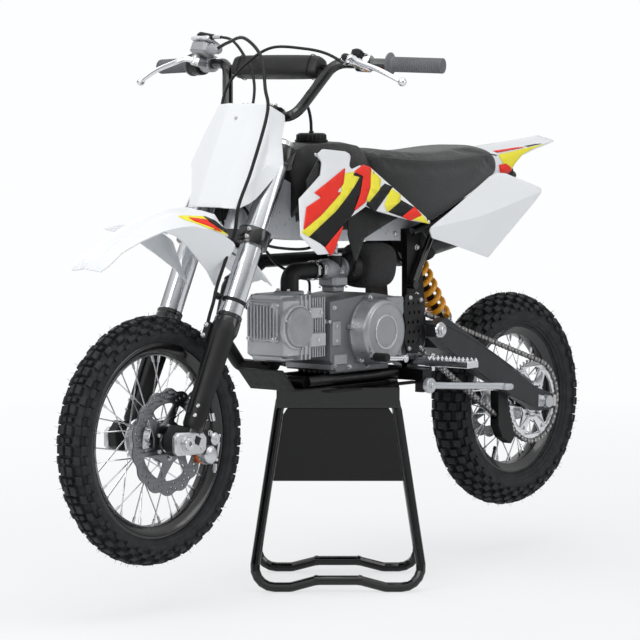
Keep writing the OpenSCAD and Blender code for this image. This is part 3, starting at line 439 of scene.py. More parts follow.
class Finish:
    """A material with one Principled shader."""

    def __init__(self, name, colour=(0.5, 0.5, 0.5), rough=0.5, metal=0.0, coat=0.0, **sockets):
        self.material = bpy.data.materials.new(name)
        self.material.use_nodes = True
        self.tree = self.material.node_tree
        self.shader = self.tree.nodes["Principled BSDF"]
        self.feed({"Base Color": colour, "Roughness": rough, "Metallic": metal, "Coat Weight": coat})
        self.feed({k.replace("_", " "): v for k, v in sockets.items()})
        self.material.diffuse_color = (*colour, 1)
        self.where = None

    def feed(self, inputs):
        self.connect(self.shader, inputs)
        return self

    def connect(self, n, inputs):
        for key, x in inputs.items():
            s = n.inputs[key]
            if isinstance(x, Value):
                self.tree.links.new(x.socket, s)
            elif isinstance(x, (tuple, list)):
                s.default_value = (*x, 1) if s.type == "RGBA" and len(x) == 3 else x
            else:
                s.default_value = x

    def node(self, kind, settings, inputs, out=0):
        n = self.tree.nodes.new("ShaderNode" + kind)
        for key, x in settings.items():
            setattr(n, key, x)
        self.connect(n, inputs)
        return Value(self.tree, n.outputs[out])

    def place(self):
        if self.where is None:
            self.where = self.node("TexCoord", {}, {}, "Object")
        return self.where

    def xyz(self):
        """Position on the piece, in millimetres."""
        got = [self.node("SeparateXYZ", {}, {"Vector": self.place()}, i) for i in range(3)]
        return [got[0] / MM, got[1] / MM, got[2] / MM - LIFT.z]

    def scaled(self, x, y, z):
        return self.node("VectorMath", {"operation": "MULTIPLY"}, {0: self.place(), 1: (x, y, z)})

    def grain(self, scale, detail=3, rough=0.5, vector=None):
        inputs = {"Vector": vector or self.place(), "Scale": scale, "Detail": detail, "Roughness": rough}
        return self.node("TexNoise", {}, inputs)

    def cells(self, scale):
        return self.node("TexVoronoi", {"feature": "F1"}, {"Vector": self.place(), "Scale": scale})

    def fade(self, x, low, high, a=0.0, b=1.0):
        """x from low..high becomes a..b, clamped."""
        inputs = {"Value": x, "From Min": low, "From Max": high, "To Min": a, "To Max": b}
        return self.node("MapRange", {"clamp": True}, inputs)

    def mix(self, share, a, b):
        return self.node("Mix", {"data_type": "RGBA"}, {0: share, 6: a, 7: b}, 2)

    def bump(self, height, strength=0.3, distance=0.001):
        return self.node("Bump", {}, {"Height": height, "Strength": strength, "Distance": distance}, "Normal")

    def worn(self, colour, amount=0.06, scale=30):
        """Base colour with faint uneven tone."""
        dark = tuple(c * (1 - amount) for c in colour)
        light = tuple(min(1, c * (1 + amount)) for c in colour)
        return self.mix(self.fade(self.grain(scale, 4), 0.35, 0.65), dark, light)


def plain(name, colour, rough, metal=0.0, coat=0.0, grain=400, depth=0.15, tone=0.06, tone_scale=30,
          spread=0.08, **sockets):
    """A finish with uneven tone, uneven gloss and a fine surface grain."""
    f = Finish(name, colour, rough, metal, coat, **sockets)
    f.feed({"Base Color": f.worn(colour, tone, tone_scale),
            "Roughness": f.fade(f.grain(tone_scale * 2.3, 5), 0.3, 0.7, max(0.03, rough - spread),
                                rough + spread)})
    if depth:
        f.feed({"Normal": f.bump(f.grain(grain, 3), depth, 0.0006)})
    return f.material


def cast(name, colour, rough=0.5, metal=0.55):
    """Cast metal: pitted skin, darker in the hollows of its grain."""
    f = Finish(name, colour, rough, metal)
    pits = f.grain(900, 4)
    f.feed({"Base Color": f.mix(f.fade(pits, 0.35, 0.6), tuple(c * 0.78 for c in colour), colour),
            "Roughness": f.fade(f.grain(60, 4), 0.3, 0.7, rough - 0.08, rough + 0.1),
            "Normal": f.bump(pits + f.grain(220, 2) * 0.6, 0.35, 0.0007)})
    return f.material


def brushed(name, colour, rough, stretch=(3000, 60, 60), metal=1.0, depth=0.12):
    """Machined or drawn metal with fine lines along one direction."""
    f = Finish(name, colour, rough, metal)
    lines = f.grain(1.0, 2, 0.6, f.scaled(*stretch))
    f.feed({"Base Color": f.mix(f.fade(lines, 0.3, 0.7), tuple(c * 0.9 for c in colour), colour),
            "Roughness": f.fade(lines, 0.3, 0.7, rough * 0.7, rough * 1.3),
            "Normal": f.bump(lines, depth, 0.0002)})
    return f.material


WHITE = (0.85, 0.87, 0.895)
RED = (0.86, 0.035, 0.02)
YELLOW = (0.93, 0.84, 0.06)
BLACK = (0.008, 0.008, 0.009)

white = plain("white_plastic", WHITE, 0.34, coat=0.2, grain=2600, depth=0.03, tone=0.008, tone_scale=9,
              spread=0.05, Coat_Roughness=0.15)
black_plastic = plain("black_plastic", (0.01, 0.01, 0.011), 0.42, grain=700, depth=0.2,
                      Specular_IOR_Level=0.28)
gloss_black = plain("black_enamel", (0.005, 0.005, 0.006), 0.2, coat=0.3, grain=120, depth=0.05,
                    Coat_Roughness=0.08)
stand_black = plain("stand_enamel", (0.003, 0.003, 0.0035), 0.14, coat=0.2, grain=90, depth=0.06,
                    Coat_Roughness=0.06)
satin_black = plain("satin_black", (0.009, 0.009, 0.01), 0.5, grain=500, depth=0.15, Specular_IOR_Level=0.25)
silver_paint = plain("silver_paint", (0.55, 0.57, 0.6), 0.36, metal=0.55, grain=1200, depth=0.12, tone=0.03)
arm_grey = plain("arm_grey", (0.03, 0.031, 0.034), 0.4, metal=0.3, grain=900, depth=0.2)
engine_cast = cast("engine_cast", (0.42, 0.43, 0.45), 0.46)


def two_tone(name, pale, dark, rough, metal, dark_share):
    """Paint of two colours on one piece, where dark_share(x, y, z) is 1 in the dark stretch."""
    f = Finish(name, pale, rough, metal)
    f.feed({"Base Color": f.mix(dark_share(f, *f.xyz()), f.worn(pale, 0.03, 30), dark),
            "Roughness": f.fade(f.grain(70, 5), 0.3, 0.7, rough - 0.08, rough + 0.08),
            "Normal": f.bump(f.grain(1200, 3), 0.12, 0.0006)})
    return f.material


frame_paint = two_tone("frame_paint", (0.55, 0.57, 0.6), (0.006, 0.006, 0.007), 0.34, 0.4,
                       lambda f, x, y, z: f.fade(z, 428, 430, 1, 0)
                       + f.fade(y, 150, 151) * f.fade(z, 500, 501) * f.fade(z, 700, 701, 1, 0))
case_cast = two_tone("case_cast", (0.42, 0.43, 0.45), (0.012, 0.012, 0.013), 0.46, 0.5,
                     lambda f, x, y, z: (f.fade(z, 428, 446, 1, 0) + f.fade(y, -34, -20, 1, 0) * 0.85)
                     .math("MINIMUM", 1))
head_cast = cast("head_cast", (0.6, 0.615, 0.64), 0.38)
cover_paint = plain("cover_paint", (0.36, 0.37, 0.385), 0.34, metal=0.6, grain=1400, depth=0.12, tone=0.03)
machined = brushed("machined_alloy", (0.66, 0.67, 0.69), 0.3)
polished = plain("polished_alloy", (0.78, 0.79, 0.81), 0.16, metal=1.0, grain=300, depth=0.04, tone=0.03)
bolt_steel = plain("bolt_steel", (0.66, 0.66, 0.67), 0.24, metal=1.0, grain=500, depth=0.1, tone=0.08)
spoke_steel = plain("spoke_steel", (0.7, 0.71, 0.73), 0.2, metal=1.0, grain=500, depth=0.05)
fork_silver = brushed("fork_silver", (0.7, 0.715, 0.74), 0.2, (60, 60, 3000))
disc_steel = brushed("disc_steel", (0.2, 0.205, 0.215), 0.33, (60, 900, 900))
chain_steel = plain("chain_steel", (0.26, 0.25, 0.245), 0.36, metal=1.0, grain=600, depth=0.2, tone=0.2,
                    tone_scale=200)
dark_steel = plain("dark_steel", (0.12, 0.12, 0.125), 0.38, metal=0.9, grain=600, depth=0.15)
tyre_rubber = plain("tyre_rubber", (0.02, 0.021, 0.023), 0.6, grain=900, depth=0.35, tone=0.3, tone_scale=45,
                    spread=0.1, Specular_IOR_Level=0.25)
soft_rubber = plain("soft_rubber", (0.008, 0.008, 0.009), 0.45, grain=700, depth=0.2, Specular_IOR_Level=0.3)
grip_grey = plain("grip_grey", (0.13, 0.135, 0.145), 0.6, grain=900, depth=0.35, tone=0.1)
spring_gold = plain("spring_gold", (0.95, 0.42, 0.012), 0.3, coat=0.4, grain=300, depth=0.05, tone=0.05,
                    Coat_Roughness=0.08)
exhaust_black = plain("exhaust_black", (0.014, 0.014, 0.015), 0.4, metal=0.35, grain=800, depth=0.2, tone=0.2,
                      Specular_IOR_Level=0.3)
orange = plain("orange_anodised", (0.8, 0.17, 0.03), 0.3, metal=0.6)

# ---------- camera, floor and light ----------

SENSOR, FOCAL, WIDTH = 36, 3383.1, 640  # the focal length is in units of WIDTH to the frame
TILT, PAN = 90 - 4.1129, 39.613
lens = bpy.data.cameras.new("camera")
lens.sensor_width, lens.lens = SENSOR, FOCAL / WIDTH * SENSOR
lens.clip_start, lens.clip_end = 0.1, 100
camera = bpy.data.objects.new("camera", lens)
camera.location = (4.427, -5.407, 1.0175 + LIFT.z * MM)
camera.rotation_euler = (radians(TILT), 0, radians(PAN))
bpy.context.scene.collection.objects.link(camera)
bpy.context.scene.camera = camera
bpy.context.scene.view_settings.view_transform = "Standard"


BACKDROP = (0.985, 0.993, 1.0)


def stage_finish(name, colour, glow):
    """Pale matt surface that the camera and reflections see close to white, and that keeps shadows."""
    f = Finish(name, colour, 0.9)
    rays = [f.node("LightPath", {}, {}, i) for i in ("Is Camera Ray", "Is Glossy Ray", "Is Transmission Ray")]
    seen = rays[0].math("MAXIMUM", rays[0].math("MAXIMUM", rays[0], rays[1] * 0.3), rays[2])
    white_glow = f.node("Emission", {}, {"Color": BACKDROP, "Strength": 1.0})
    x, y, z = f.xyz()
    away = f.fade((x * x + y * y) ** 0.5, 900, 4200, glow, 1.0)
    blend = f.node("MixShader", {}, {0: seen * away, 1: Value(f.tree, f.shader.outputs[0]), 2: white_glow})
    f.tree.links.new(blend.socket, f.tree.nodes["Material Output"].inputs["Surface"])
    return f.material


floor_mesh = bpy.data.meshes.new("floor")
floor_mesh.from_pydata([(-30, -30, 0), (30, -30, 0), (30, 30, 0), (-30, 30, 0)], [], [(0, 1, 2, 3)])
floor = link("floor", floor_mesh, [stage_finish("pale_floor", (0.9, 0.91, 0.92), 0.62)])
floor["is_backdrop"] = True

world = bpy.data.worlds.new("studio")
bpy.context.scene.world = world
world.use_nodes = True
sky = world.node_tree
back = sky.nodes["Background"]
back.inputs["Color"].default_value = (*BACKDROP, 1)
rays = sky.nodes.new("ShaderNodeLightPath")
any_ray = Value(sky, rays.outputs["Is Camera Ray"])
any_ray = any_ray.math("MAXIMUM", any_ray, Value(sky, rays.outputs["Is Transmission Ray"]))
glossy = Value(sky, rays.outputs["Is Glossy Ray"])
way = sky.nodes.new("ShaderNodeTexCoord")
split = sky.nodes.new("ShaderNodeSeparateXYZ")
sky.links.new(way.outputs["Generated"], split.inputs["Vector"])
height = sky.nodes.new("ShaderNodeMapRange")
height.inputs["From Min"].default_value, height.inputs["From Max"].default_value = 0.02, 0.55
height.inputs["To Min"].default_value, height.inputs["To Max"].default_value = 0.2, 1.0
sky.links.new(split.outputs["Z"], height.inputs["Value"])
level = any_ray.math("MAXIMUM", any_ray, glossy * Value(sky, height.outputs["Result"]))
sky.links.new((level + (1 - any_ray) * (1 - glossy) * 0.5).socket, back.inputs["Strength"])


def lamp(name, at, aim, size, power):
    data = bpy.data.lights.new(name, "AREA")
    data.shape, data.size, data.size_y = "RECTANGLE", size[0], size[1]
    data.energy = power
    piece = bpy.data.objects.new(name, data)
    piece.location = at
    piece.rotation_euler = (Vector(aim) - Vector(at)).to_track_quat("-Z", "Y").to_euler()
    bpy.context.scene.collection.objects.link(piece)


lamp("top_light", (0.6, -0.6, 3.2), (0, 0, 0.5), (2.6, 2.6), 34)
lamp("front_light", (0.2, -4.2, 2.2), (0, -0.2, 0.6), (2.2, 1.6), 50)
lamp("side_light", (4.0, 1.6, 1.8), (0, 0.1, 0.5), (1.6, 2.0), 24)
lamp("rear_light", (-3.4, 1.6, 2.0), (0, 0, 0.6), (2.0, 1.6), 26)

# ---------- cables and the brake hose ----------

HOSE = [(-180.8, -46, 850), (-164, -46, 850), (-110, -72, 852), (-40, -104, 846), (30, -114, 800),
        (66, -112, 730), (84, -104, 680), (88, -103, 560), (84, -103, 480), (70, -76, 430),
        (62, -70, 330), (62, -66, 290), (52, -50, 240), (50, -10, 150), (56, 42, 82)]
THROTTLE = [(-176, -50, 876), (-156, -50, 876), (-110, -62, 862), (-60, -70, 826), (-14, -71, 775),
            (6, -70, 720), (8, -66, 640), (12, -40, 590), (12, -40, 530), (35, -18, 500), (35, 12, 474),
            (30, 60, 468)]
THROTTLE_END = [(20, -200, 672), (14, -120, 668), (10, -60, 680), (10, -20, 676), (10, -20, 652.2)]
CLUTCH = [(195.8, -34, 824), (178, -34, 824), (140, -52, 836), (90, -62, 842), (20, -80, 836),
          (-30, -84, 800), (-66, -80, 750), (-66, -74, 690), (-50, -66, 640), (-14, -40, 596),
          (-14, -40, 560), (-12, -40, 530), (-35, -18, 500), (-35, 12, 474), (-30, 60, 468)]
CLUTCH_END = [(-40, -190, 668), (-58, -130, 636), (-63, -50, 604), (-78, 0, 592), (-78, 0, 550.2)]

def corded(line, r, sides, ends):
    """A cord along a line, with a metal sleeve at each end: ends has their two lengths and their radius."""
    form = Form().tube(line, r, sides).use(1)
    form.bar(line[0], line[0] + (line[1] - line[0]).normalized() * ends[0], ends[2])
    return form.bar(line[-1], line[-1] + (line[-2] - line[-1]).normalized() * ends[1], ends[2])


form = corded(smooth_path([steered(p) for p in HOSE], 8), 3.5, 12, (14, 16, 5.2))
made(form, "brake_hose", "steering", [soft_rubber, bolt_steel], "hose_rubber",
     stands_for=["front_brake_hose"])


def cable(name, top, low, ends):
    """One cable from the bars, past the steering head, to its place on the engine. It bends at the head."""
    line = smooth_path([steered(p) for p in top] + [Vector(p) for p in low], 8)
    piece = mesh_of(corded(line, 3.0, 10, (20, 22, 4.2)), name, [soft_rubber, bolt_steel])
    soften(piece.data, 38)
    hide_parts(*ends)
    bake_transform(piece)


cable("throttle_line", THROTTLE, THROTTLE_END, ["throttle_cable", "throttle_cable_lower"])
cable("clutch_line", CLUTCH, CLUTCH_END, ["clutch_cable", "clutch_cable_lower"])

# ---------- finishes of the frame pieces that stay ----------

CARRIED = {"main_frame": frame_paint, "subframe": gloss_black, "engine_case": case_cast,
           "exhaust_pipe": exhaust_black, "swingarm": arm_grey, "rear_axle": machined,
           "shock_absorber": satin_black, "chain_guide": black_plastic, "skid_plate": satin_black,
           "stand_loops": stand_black, "stand_top": stand_black, "stand_panel": stand_black,
           "triple_clamps": gloss_black, "fork_tubes": fork_silver, "handlebar": gloss_black,
           "front_axle": bolt_steel}
ROUND_TUBES = ("stand_loops", "exhaust_pipe", "handlebar")
for name, finish in CARRIED.items():
    node = nodes[name]
    for s in node.material_slots:
        s.material = finish
    node.modifiers.new("weld", "WELD").merge_threshold = 1e-5
    if name not in ROUND_TUBES:
        round_edges(node, 1.2).use_clamp_overlap = True

# ---------- wheels ----------


KNOB = 9.5  # height of the middle blocks
SQUARE = ((-1, -1), (1, -1), (1, 1), (-1, 1))


def tyre(name, node, axle, body, rim_r, outer_r, half, rows, pitches, seed):
    """Knobbly tyre: a carcass with raised rings on its walls, blocks in rows, and moulding hairs."""
    mid_r, wide = outer_r - half * 0.98, half - 4
    rise, lip = outer_r - KNOB - mid_r, mid_r - rim_r
    form = Form(Matrix.Translation(axle))
    side = [(wide * 0.56, rim_r - 3), (wide * 0.62, rim_r + 4), (wide * 0.66, rim_r + 5),
            (wide * 0.7, rim_r + 5.2), (wide * 0.76, rim_r + lip * 0.35), (wide * 0.8, rim_r + lip * 0.38),
            (wide * 0.9, rim_r + lip * 0.62), (wide * 0.93, rim_r + lip * 0.64), (wide, mid_r - 2)]
    crown = [(wide * sin(a), mid_r + rise * cos(a)) for a in map(radians, range(80, -81, -10))]
    form.turn(side + crown + [(-x, r) for x, r in reversed(side)], steps=120, loop=True)
    dice = random.Random(seed)

    def spot(tilt, turn, lift=0.0, along=0.0, across=0.0):
        t = radians(tilt)
        x, r = wide * sin(t), mid_r + rise * cos(t)
        nx, nr = sin(t) / wide, cos(t) / rise
        n = hypot(nx, nr)
        nx, nr = nx / n, nr / n
        x, r = x + nx * lift + nr * across, r + nr * lift - nx * across
        a = turn + along / r
        return (x, r * cos(a), r * sin(a))

    def block(tilt, turn, length, width, height, skew=0.0, groove=False):
        form.loft([[spot(tilt, turn, lift, a * length / 2 * grow + b * skew, b * width / 2 * grow)
                    for a, b in SQUARE] for lift, grow in ((-3.5, 1.14), (height - 1.0, 1.0),
                                                           (height, 0.84))])
        if groove:
            for s in (-1, 1):
                form.loft([[spot(tilt, turn, h, a * 0.9 + s * length * 0.2, b * width * 0.36)
                            for a, b in SQUARE] for h in (height - 0.2, height + 0.7)])
        if dice.random() < 0.62:
            spike(tilt, turn, height, length, width)

    def spike(tilt, turn, height, length, width):
        a, b = (dice.uniform(-0.4, 0.4) for _ in range(2))
        tall, lean, bend = dice.uniform(5, 9), dice.uniform(-3, 3), dice.uniform(-2, 2)
        rings = []
        for h, w in ((height - 0.5, 0.42), (height + tall * 0.6, 0.34), (height + tall, 0.16)):
            k = (h - height) / tall
            rings.append([spot(tilt, turn, h, a * length + lean * k + w * cos(c), b * width + bend * k
                               + w * sin(c)) for c in (0, 2.1, 4.2)])
        form.loft(rings)

    for i in range(pitches):
        for phase, tilt, length, width, height, skew in rows:
            turn = tau * (i + phase) / pitches
            for s in ((-1, 1) if tilt else (1,)):
                block(s * tilt, turn, length, width, height, skew * s, groove=tilt == 0)
    made(form, name, body, tyre_rubber, "tyre_rubber", sharp=30, stands_for=[node])


tyre("front_knobbly_tyre", "front_tyre", front_axle, "front_wheel", 187, 244, 37,
     [(0.0, 13, 17, 12, 9.5, 1.5), (0.5, 38, 16, 11, 9, 1), (0.0, 60, 17, 9, 7.5, 0),
      (0.5, 74, 12, 8, 5.5, 0), (0.5, 10, 9, 9, 8.5, 0)], 38, 3)
tyre("rear_knobbly_tyre", "rear_tyre", rear_axle, "rear_wheel", 161.5, 234, 45,
     [(0.0, 0, 16, 20, 9.5, 0), (0.0, 32, 16, 14, 9.5, 1), (0.5, 17, 16, 14, 9.5, 0), (0.5, 47, 17, 12, 9, 0),
      (0.0, 64, 18, 11, 7.5, 0), (0.5, 76, 13, 9, 5.5, 0)], 34, 5)


RIM_DEPTH, SPOKES = 21, 36


def rim(name, node, axle, body, r, half, valve_turn):
    """Black alloy rim with rolled lips and a valve."""
    form = Form(Matrix.Translation(axle))
    d = RIM_DEPTH
    outer = [(-half, r - 3), (-half, r + 3.5), (-half + 1, r + 5), (-half + 3, r + 5), (-half + 4, r + 2),
             (-half + 5, r - 2), (-half * 0.5, r - d + 7), (-6, r - d + 3)]
    inner = [(half * 0.82, r - 9), (half * 0.62, r - d + 3), (8, r - d)]
    profile = outer + [(-x, h) for x, h in reversed(outer)] + inner + [(-x, h) for x, h in reversed(inner)]
    form.turn(profile, steps=120, loop=True)
    valve = lambda h: spoke(valve_turn, r - d + h)
    form.bar(valve(1), valve(-24), 3, 3, 12).bar(valve(-22), valve(-30), 4, 3.4, 12)
    form.bar(valve(1), valve(-4), 5.5, 5.5, 6)
    made(form, name, body, gloss_black, "black_paint", sharp=35, stands_for=[node])


rim("front_spoked_rim", "front_rim", front_axle, "front_wheel", 187, 21, radians(35))
rim("rear_spoked_rim", "rear_rim", rear_axle, "rear_wheel", 161.5, 24, radians(250))


def hub(name, node, axle, body, flange_x, flange_r, rim_r, left, right, boss):
    """Cast hub with drilled flanges and crossed spokes that end in nipples."""
    form = Form(Matrix.Translation(axle))
    f, x = flange_r, flange_x
    neck = [(x - 18, f * 0.5), (x - 8, f * 0.62), (x - 3, f - 9), (x - 2.5, f - 1), (x - 1.5, f), (x + 1, f),
            (x + 2.5, f - 1), (x + 2.5, f - 6)]
    form.turn([(-a, r) for a, r in reversed(neck)] + [(0, f * 0.47)] + neck
              + [(x + 4, boss + 1), (left - 1, boss), (left, boss - 2), (left, 10), (right, 10),
                 (right, boss - 2), (right + 1, boss), (-x - 4, boss + 1)], steps=56, loop=True)
    for k in range(9):
        u = spoke(tau * k / 9, f * 0.44)
        form.bar(u + Vector((4 - x, 0, 0)), u + Vector((x - 4, 0, 0)), 3.2, steps=8)
    form.use(1)
    for end, s in ((left, 1), (right, -1)):
        form.turn([(end - s, boss * 0.72), (end + s * 0.8, boss * 0.72), (end + s * 0.8, 9), (end - s, 9)],
                  steps=32, loop=True)
    for i in range(SPOKES):
        side, way = 1 if i % 2 else -1, 1 if i // 2 % 2 else -1
        at = tau * i / SPOKES
        hub_end = spoke(at + way * radians(33), f - 4) + Vector((side * (x + 1.8 * way), 0, 0))
        rim_end = spoke(at, rim_r - RIM_DEPTH - 0.5) + Vector((side * 4, 0, 0))
        d, out = (rim_end - hub_end).normalized(), Vector((side * 2.2, 0, 0))
        form.use(2).bar(hub_end, rim_end, 1.35, steps=8).bar(hub_end - out, hub_end + out, 2.2, steps=8)
        form.use(3).bar(rim_end - d * 13, rim_end + d * 2, 2.6, 2.9, 8)
    made(form, name, body, [machined, soft_rubber, spoke_steel, bolt_steel], "cast_alloy", sharp=35,
         stands_for=[node])


hub("front_spoked_hub", "front_hub", front_axle, "front_wheel", 30, 42, 187, 43.6, -40, 24)
hub("rear_spoked_hub", "rear_hub", rear_axle, "rear_wheel", 32, 45, 161.5, 69, -45.6, 26)


def wavy_ring(r, steps, wave, waves, turn):
    radii = [r - wave * (0.5 - 0.5 * cos(waves * tau * k / steps)) ** 1.5 for k in range(steps)]
    return [(h * cos(tau * k / steps + turn), h * sin(tau * k / steps + turn)) for k, h in enumerate(radii)]


def slot_hole(r, a, long, wide, tilt, steps=10):
    """Slot with round ends, its length at tilt to the rim."""
    c = Vector((r * cos(a), r * sin(a)))
    d = Vector((cos(a + tilt), sin(a + tilt)))
    n = Vector((-d.y, d.x))
    made = []
    for end in (1, -1):
        for k in range(steps // 2 + 1):
            t = -pi / 2 + pi * k / (steps // 2)
            made.append(c + d * end * (long / 2 + wide / 2 * cos(t)) + n * end * wide / 2 * sin(t))
    return [(p.x, p.y) for p in made]


def flat_rounded(outline, bend, steps):
    return [(p.x, p.y) for p in rounded([(*p, 0) for p in outline], bend, steps, True)]


def window(r0, r1, a0, a1, sweep, steps=6):
    """Opening between two slanted arms."""
    wide = a1 - a0
    pts = [(r1 * cos(a0 + wide * k / steps), r1 * sin(a0 + wide * k / steps)) for k in range(steps + 1)]
    ends = [a1 + sweep - wide * (0.28 + 0.44 * k / 2) for k in range(3)]
    return flat_rounded(pts + [(r0 * cos(a), r0 * sin(a)) for a in ends], 3, 2)


def disc(name, node, axle, body, x, r, waves, arms, turn):
    """Wave-edged brake disc with slots, slanted arms and its bolts."""
    outlines = [wavy_ring(r, waves * 12, 5.5, waves, turn), circle(0, 0, r * 0.21, 32)]
    for i in range(arms):
        a = tau * i / arms + turn
        outlines.append(window(r * 0.4, r * 0.72, a + 0.1, a + tau / arms - 0.1, 0.3))
        outlines.append(slot_hole(r * 0.62, a - 0.02, 7, 3.5, 0.25))
    for i in range(waves):
        for share, on, long, wide in ((0.925, 0, 2.2, 3.6), (0.85, 0.11, 2.2, 3.6), (0.785, 0.21, 1.6, 3.4),
                                      (0.9, 0.24, 2.0, 3.4)):
            outlines.append(slot_hole(r * share, tau * i / waves + turn + on, long, wide, 0.6))
    cut(name, outlines, x[0], x[1], body, disc_steel, 0.35, Matrix.Translation(axle), [node])
    form = Form(Matrix.Translation(axle))
    out, face = (1, x[1]) if x[0] > 0 else (-1, x[0])
    for i in range(arms):
        form.bolt(spoke(tau * i / arms + turn + 0.35, r * 0.3) + Vector((face, 0, 0)), (out, 0, 0), 4.2, 4)
    made(form, name + "_bolts", body, bolt_steel, "bright_steel")


disc("front_wave_disc", "front_disc", front_axle, "front_wheel", (44, 47.5), 105, 14, 6, 0.2)
disc("rear_wave_disc", "rear_disc", rear_axle, "rear_wheel", (-49.5, -46), 90, 12, 5, 0.1)

# ---------- sprocket and chain ----------

TEETH, PITCH, SPROCKET_R, DRIVE_R, CHAIN_X = 44, 12.7, 89.0, 30.5, 72
TOOTH = ((-0.36, -3.6), (-0.2, -4.4), (0.0, -4.6), (0.2, -4.4), (0.36, -3.6), (0.45, 2.4), (0.55, 2.4))
outline = [((SPROCKET_R + r) * Vector((cos(tau * (k + part) / TEETH), sin(tau * (k + part) / TEETH))))
           for k in range(TEETH) for part, r in TOOTH]
holes = [circle(0, 0, 28, 32)]
form = Form(REAR)
for i in range(6):
    a = tau * i / 6
    holes += [window(43, 74, a + 0.15, a + tau / 6 - 0.15, -0.05), slot_hole(36, a, 0.1, 5, 0),
              slot_hole(66, a, 0.1, 7, 0)]
    form.bolt(spoke(a, 36) + Vector((74.4, 0, 0)), X, 5.2, 5)
cut("rear_toothed_sprocket", [outline] + holes, 69.6, 74.4, "rear_wheel", polished, 0.5, REAR,
    ["rear_sprocket"])
form.turn([(68.5, 27.5), (75, 27.5), (76, 26), (76, 16), (68.5, 16)], steps=40, loop=True)
made(form, "sprocket_bolts", "rear_wheel", bolt_steel, "bright_steel")

drive, driven = Vector((148, 505)), Vector((rear_axle.y, rear_axle.z))
reach = driven - drive
open_turn = asin((SPROCKET_R - DRIVE_R) / reach.length)
run_len = reach.length * cos(open_turn)
up = atan2(reach.y, reach.x) + pi / 2 + open_turn
down = up - pi - 2 * open_turn
rear_len = SPROCKET_R * (pi + 2 * open_turn)
whole = 2 * run_len + rear_len + DRIVE_R * (pi - 2 * open_turn)


def chain_point(s):
    """Point (y, z) on the chain, a length s along it from the top of the drive sprocket."""
    on = lambda centre, a, r: centre + Vector((cos(a), sin(a))) * r
    s %= whole
    if s < run_len:
        return on(drive, up, DRIVE_R).lerp(on(driven, up, SPROCKET_R), s / run_len)
    s -= run_len
    if s < rear_len:
        return on(driven, up - s / SPROCKET_R, SPROCKET_R)
    s -= rear_len
    if s < run_len:
        return on(driven, down, SPROCKET_R).lerp(on(drive, down, DRIVE_R), s / run_len)
    return on(drive, down - (s - run_len) / DRIVE_R, DRIVE_R)


links = 2 * round(whole / PITCH / 2)
form = Form()
for i in range(links):
    p, q = chain_point(whole * i / links), chain_point(whole * (i + 1) / links)
    d = (q - p).normalized()
    n = Vector((-d.y, d.x))
    m = (p + q) / 2
    shape = [(q if cos(t) > 0 else p) + d * cos(t) * 5.0 + n * sin(t) * 5.0
             for t in [tau * k / 14 for k in range(14)]]
    shape = shape[:4] + [m + n * 3.9] + shape[4:11] + [m - n * 3.9] + shape[11:]
    for s in (-1, 1):
        x = CHAIN_X + s * (3.4 if i % 2 else 5.0)
        form.use(i % 2).slab([(v.x, v.y) for v in shape], x - 0.7, x + 0.7, 0.25)
    for half, r, steps in ((6.2, 1.9, 8), (2.6, 3.7, 10)):
        form.use(2).bar((CHAIN_X - half, *p), (CHAIN_X + half, *p), r, steps=steps)
made(form, "drive_chain", "chassis", [chain_steel, dark_steel, bolt_steel], "chain_steel", sharp=30,
     stands_for=["chain"])

# ---------- bodywork ----------


def patch(name, outline, surface, outward, body, finish, slot=None, step=16, creases=(), thick=3.0, bend=6.0,
          stands_for=(), edge=0.7, sharp=24):
    """Sheet of moulded plastic or film: a flat outline cut into a grid and laid on a curved surface."""
    flat = flat_rounded(outline, bend, 3) if bend else outline
    bm = bmesh.new()
    bm.faces.new([bm.verts.new((*p, 0)) for p in flat])
    lines = []
    for axis in (0, 1):
        lo, hi = min(p[axis] for p in flat), max(p[axis] for p in flat)
        count = int((hi - lo) / step) + 1
        for k in range(1, count):
            at = [0, 0, 0]
            at[axis] = lo + (hi - lo) * k / count
            lines.append((at, (X, Y)[axis]))
    for a, b in creases:
        lines.append(((*a, 0), (b[1] - a[1], a[0] - b[0], 0)))
    for at, normal in lines:
        bmesh.ops.bisect_plane(bm, geom=bm.verts[:] + bm.edges[:] + bm.faces[:], dist=1e-3, plane_co=at,
                               plane_no=normal)
    bmesh.ops.dissolve_degenerate(bm, edges=bm.edges, dist=1e-3)
    for v in bm.verts:
        v.co = (surface(v.co.x, v.co.y) + LIFT) * MM
    bm.normal_update()
    way = sum((f.normal * f.calc_area() for f in bm.faces), Vector())
    if way.dot(Vector(outward)) < 0:
        bmesh.ops.reverse_faces(bm, faces=bm.faces)
    mesh = bpy.data.meshes.new(name)
    bm.to_mesh(mesh)
    bm.free()
    piece = link(name, mesh, [finish])
    soften(mesh, sharp)
    wall(piece, thick)
    if edge:
        round_edges(piece, edge, 50)
    return placed(piece, body, stands_for)


def film(name, colour, outline, surface, outward, body, thick=0.3, **more):
    """Thin coloured film laid on a moulded piece."""
    patch(name, outline, surface, outward, body, film_finish[colour], thick=thick, bend=1.5, edge=0, **more)


def between(table, x):
    """Value read from (x, value) pairs."""
    if x <= table[0][0]:
        return table[0][1]
    for (a, p), (b, q) in zip(table, table[1:]):
        if x <= b:
            return p + (q - p) * (x - a) / (b - a)
    return table[-1][1]


def shroud_surface(side, lift=0.0):
    def surface(y, z):
        x = between([(-330, 172), (-100, 156), (170, 132)], y) / cos(SHROUD_LEAN)
        x -= (z - 660) * tan(SHROUD_LEAN) - 4
        x += 5 * exp(-((y + 150) / 110) ** 2 - ((z - 765) / 55) ** 2)
        return Vector((side * (x + lift), y, z))
    return surface


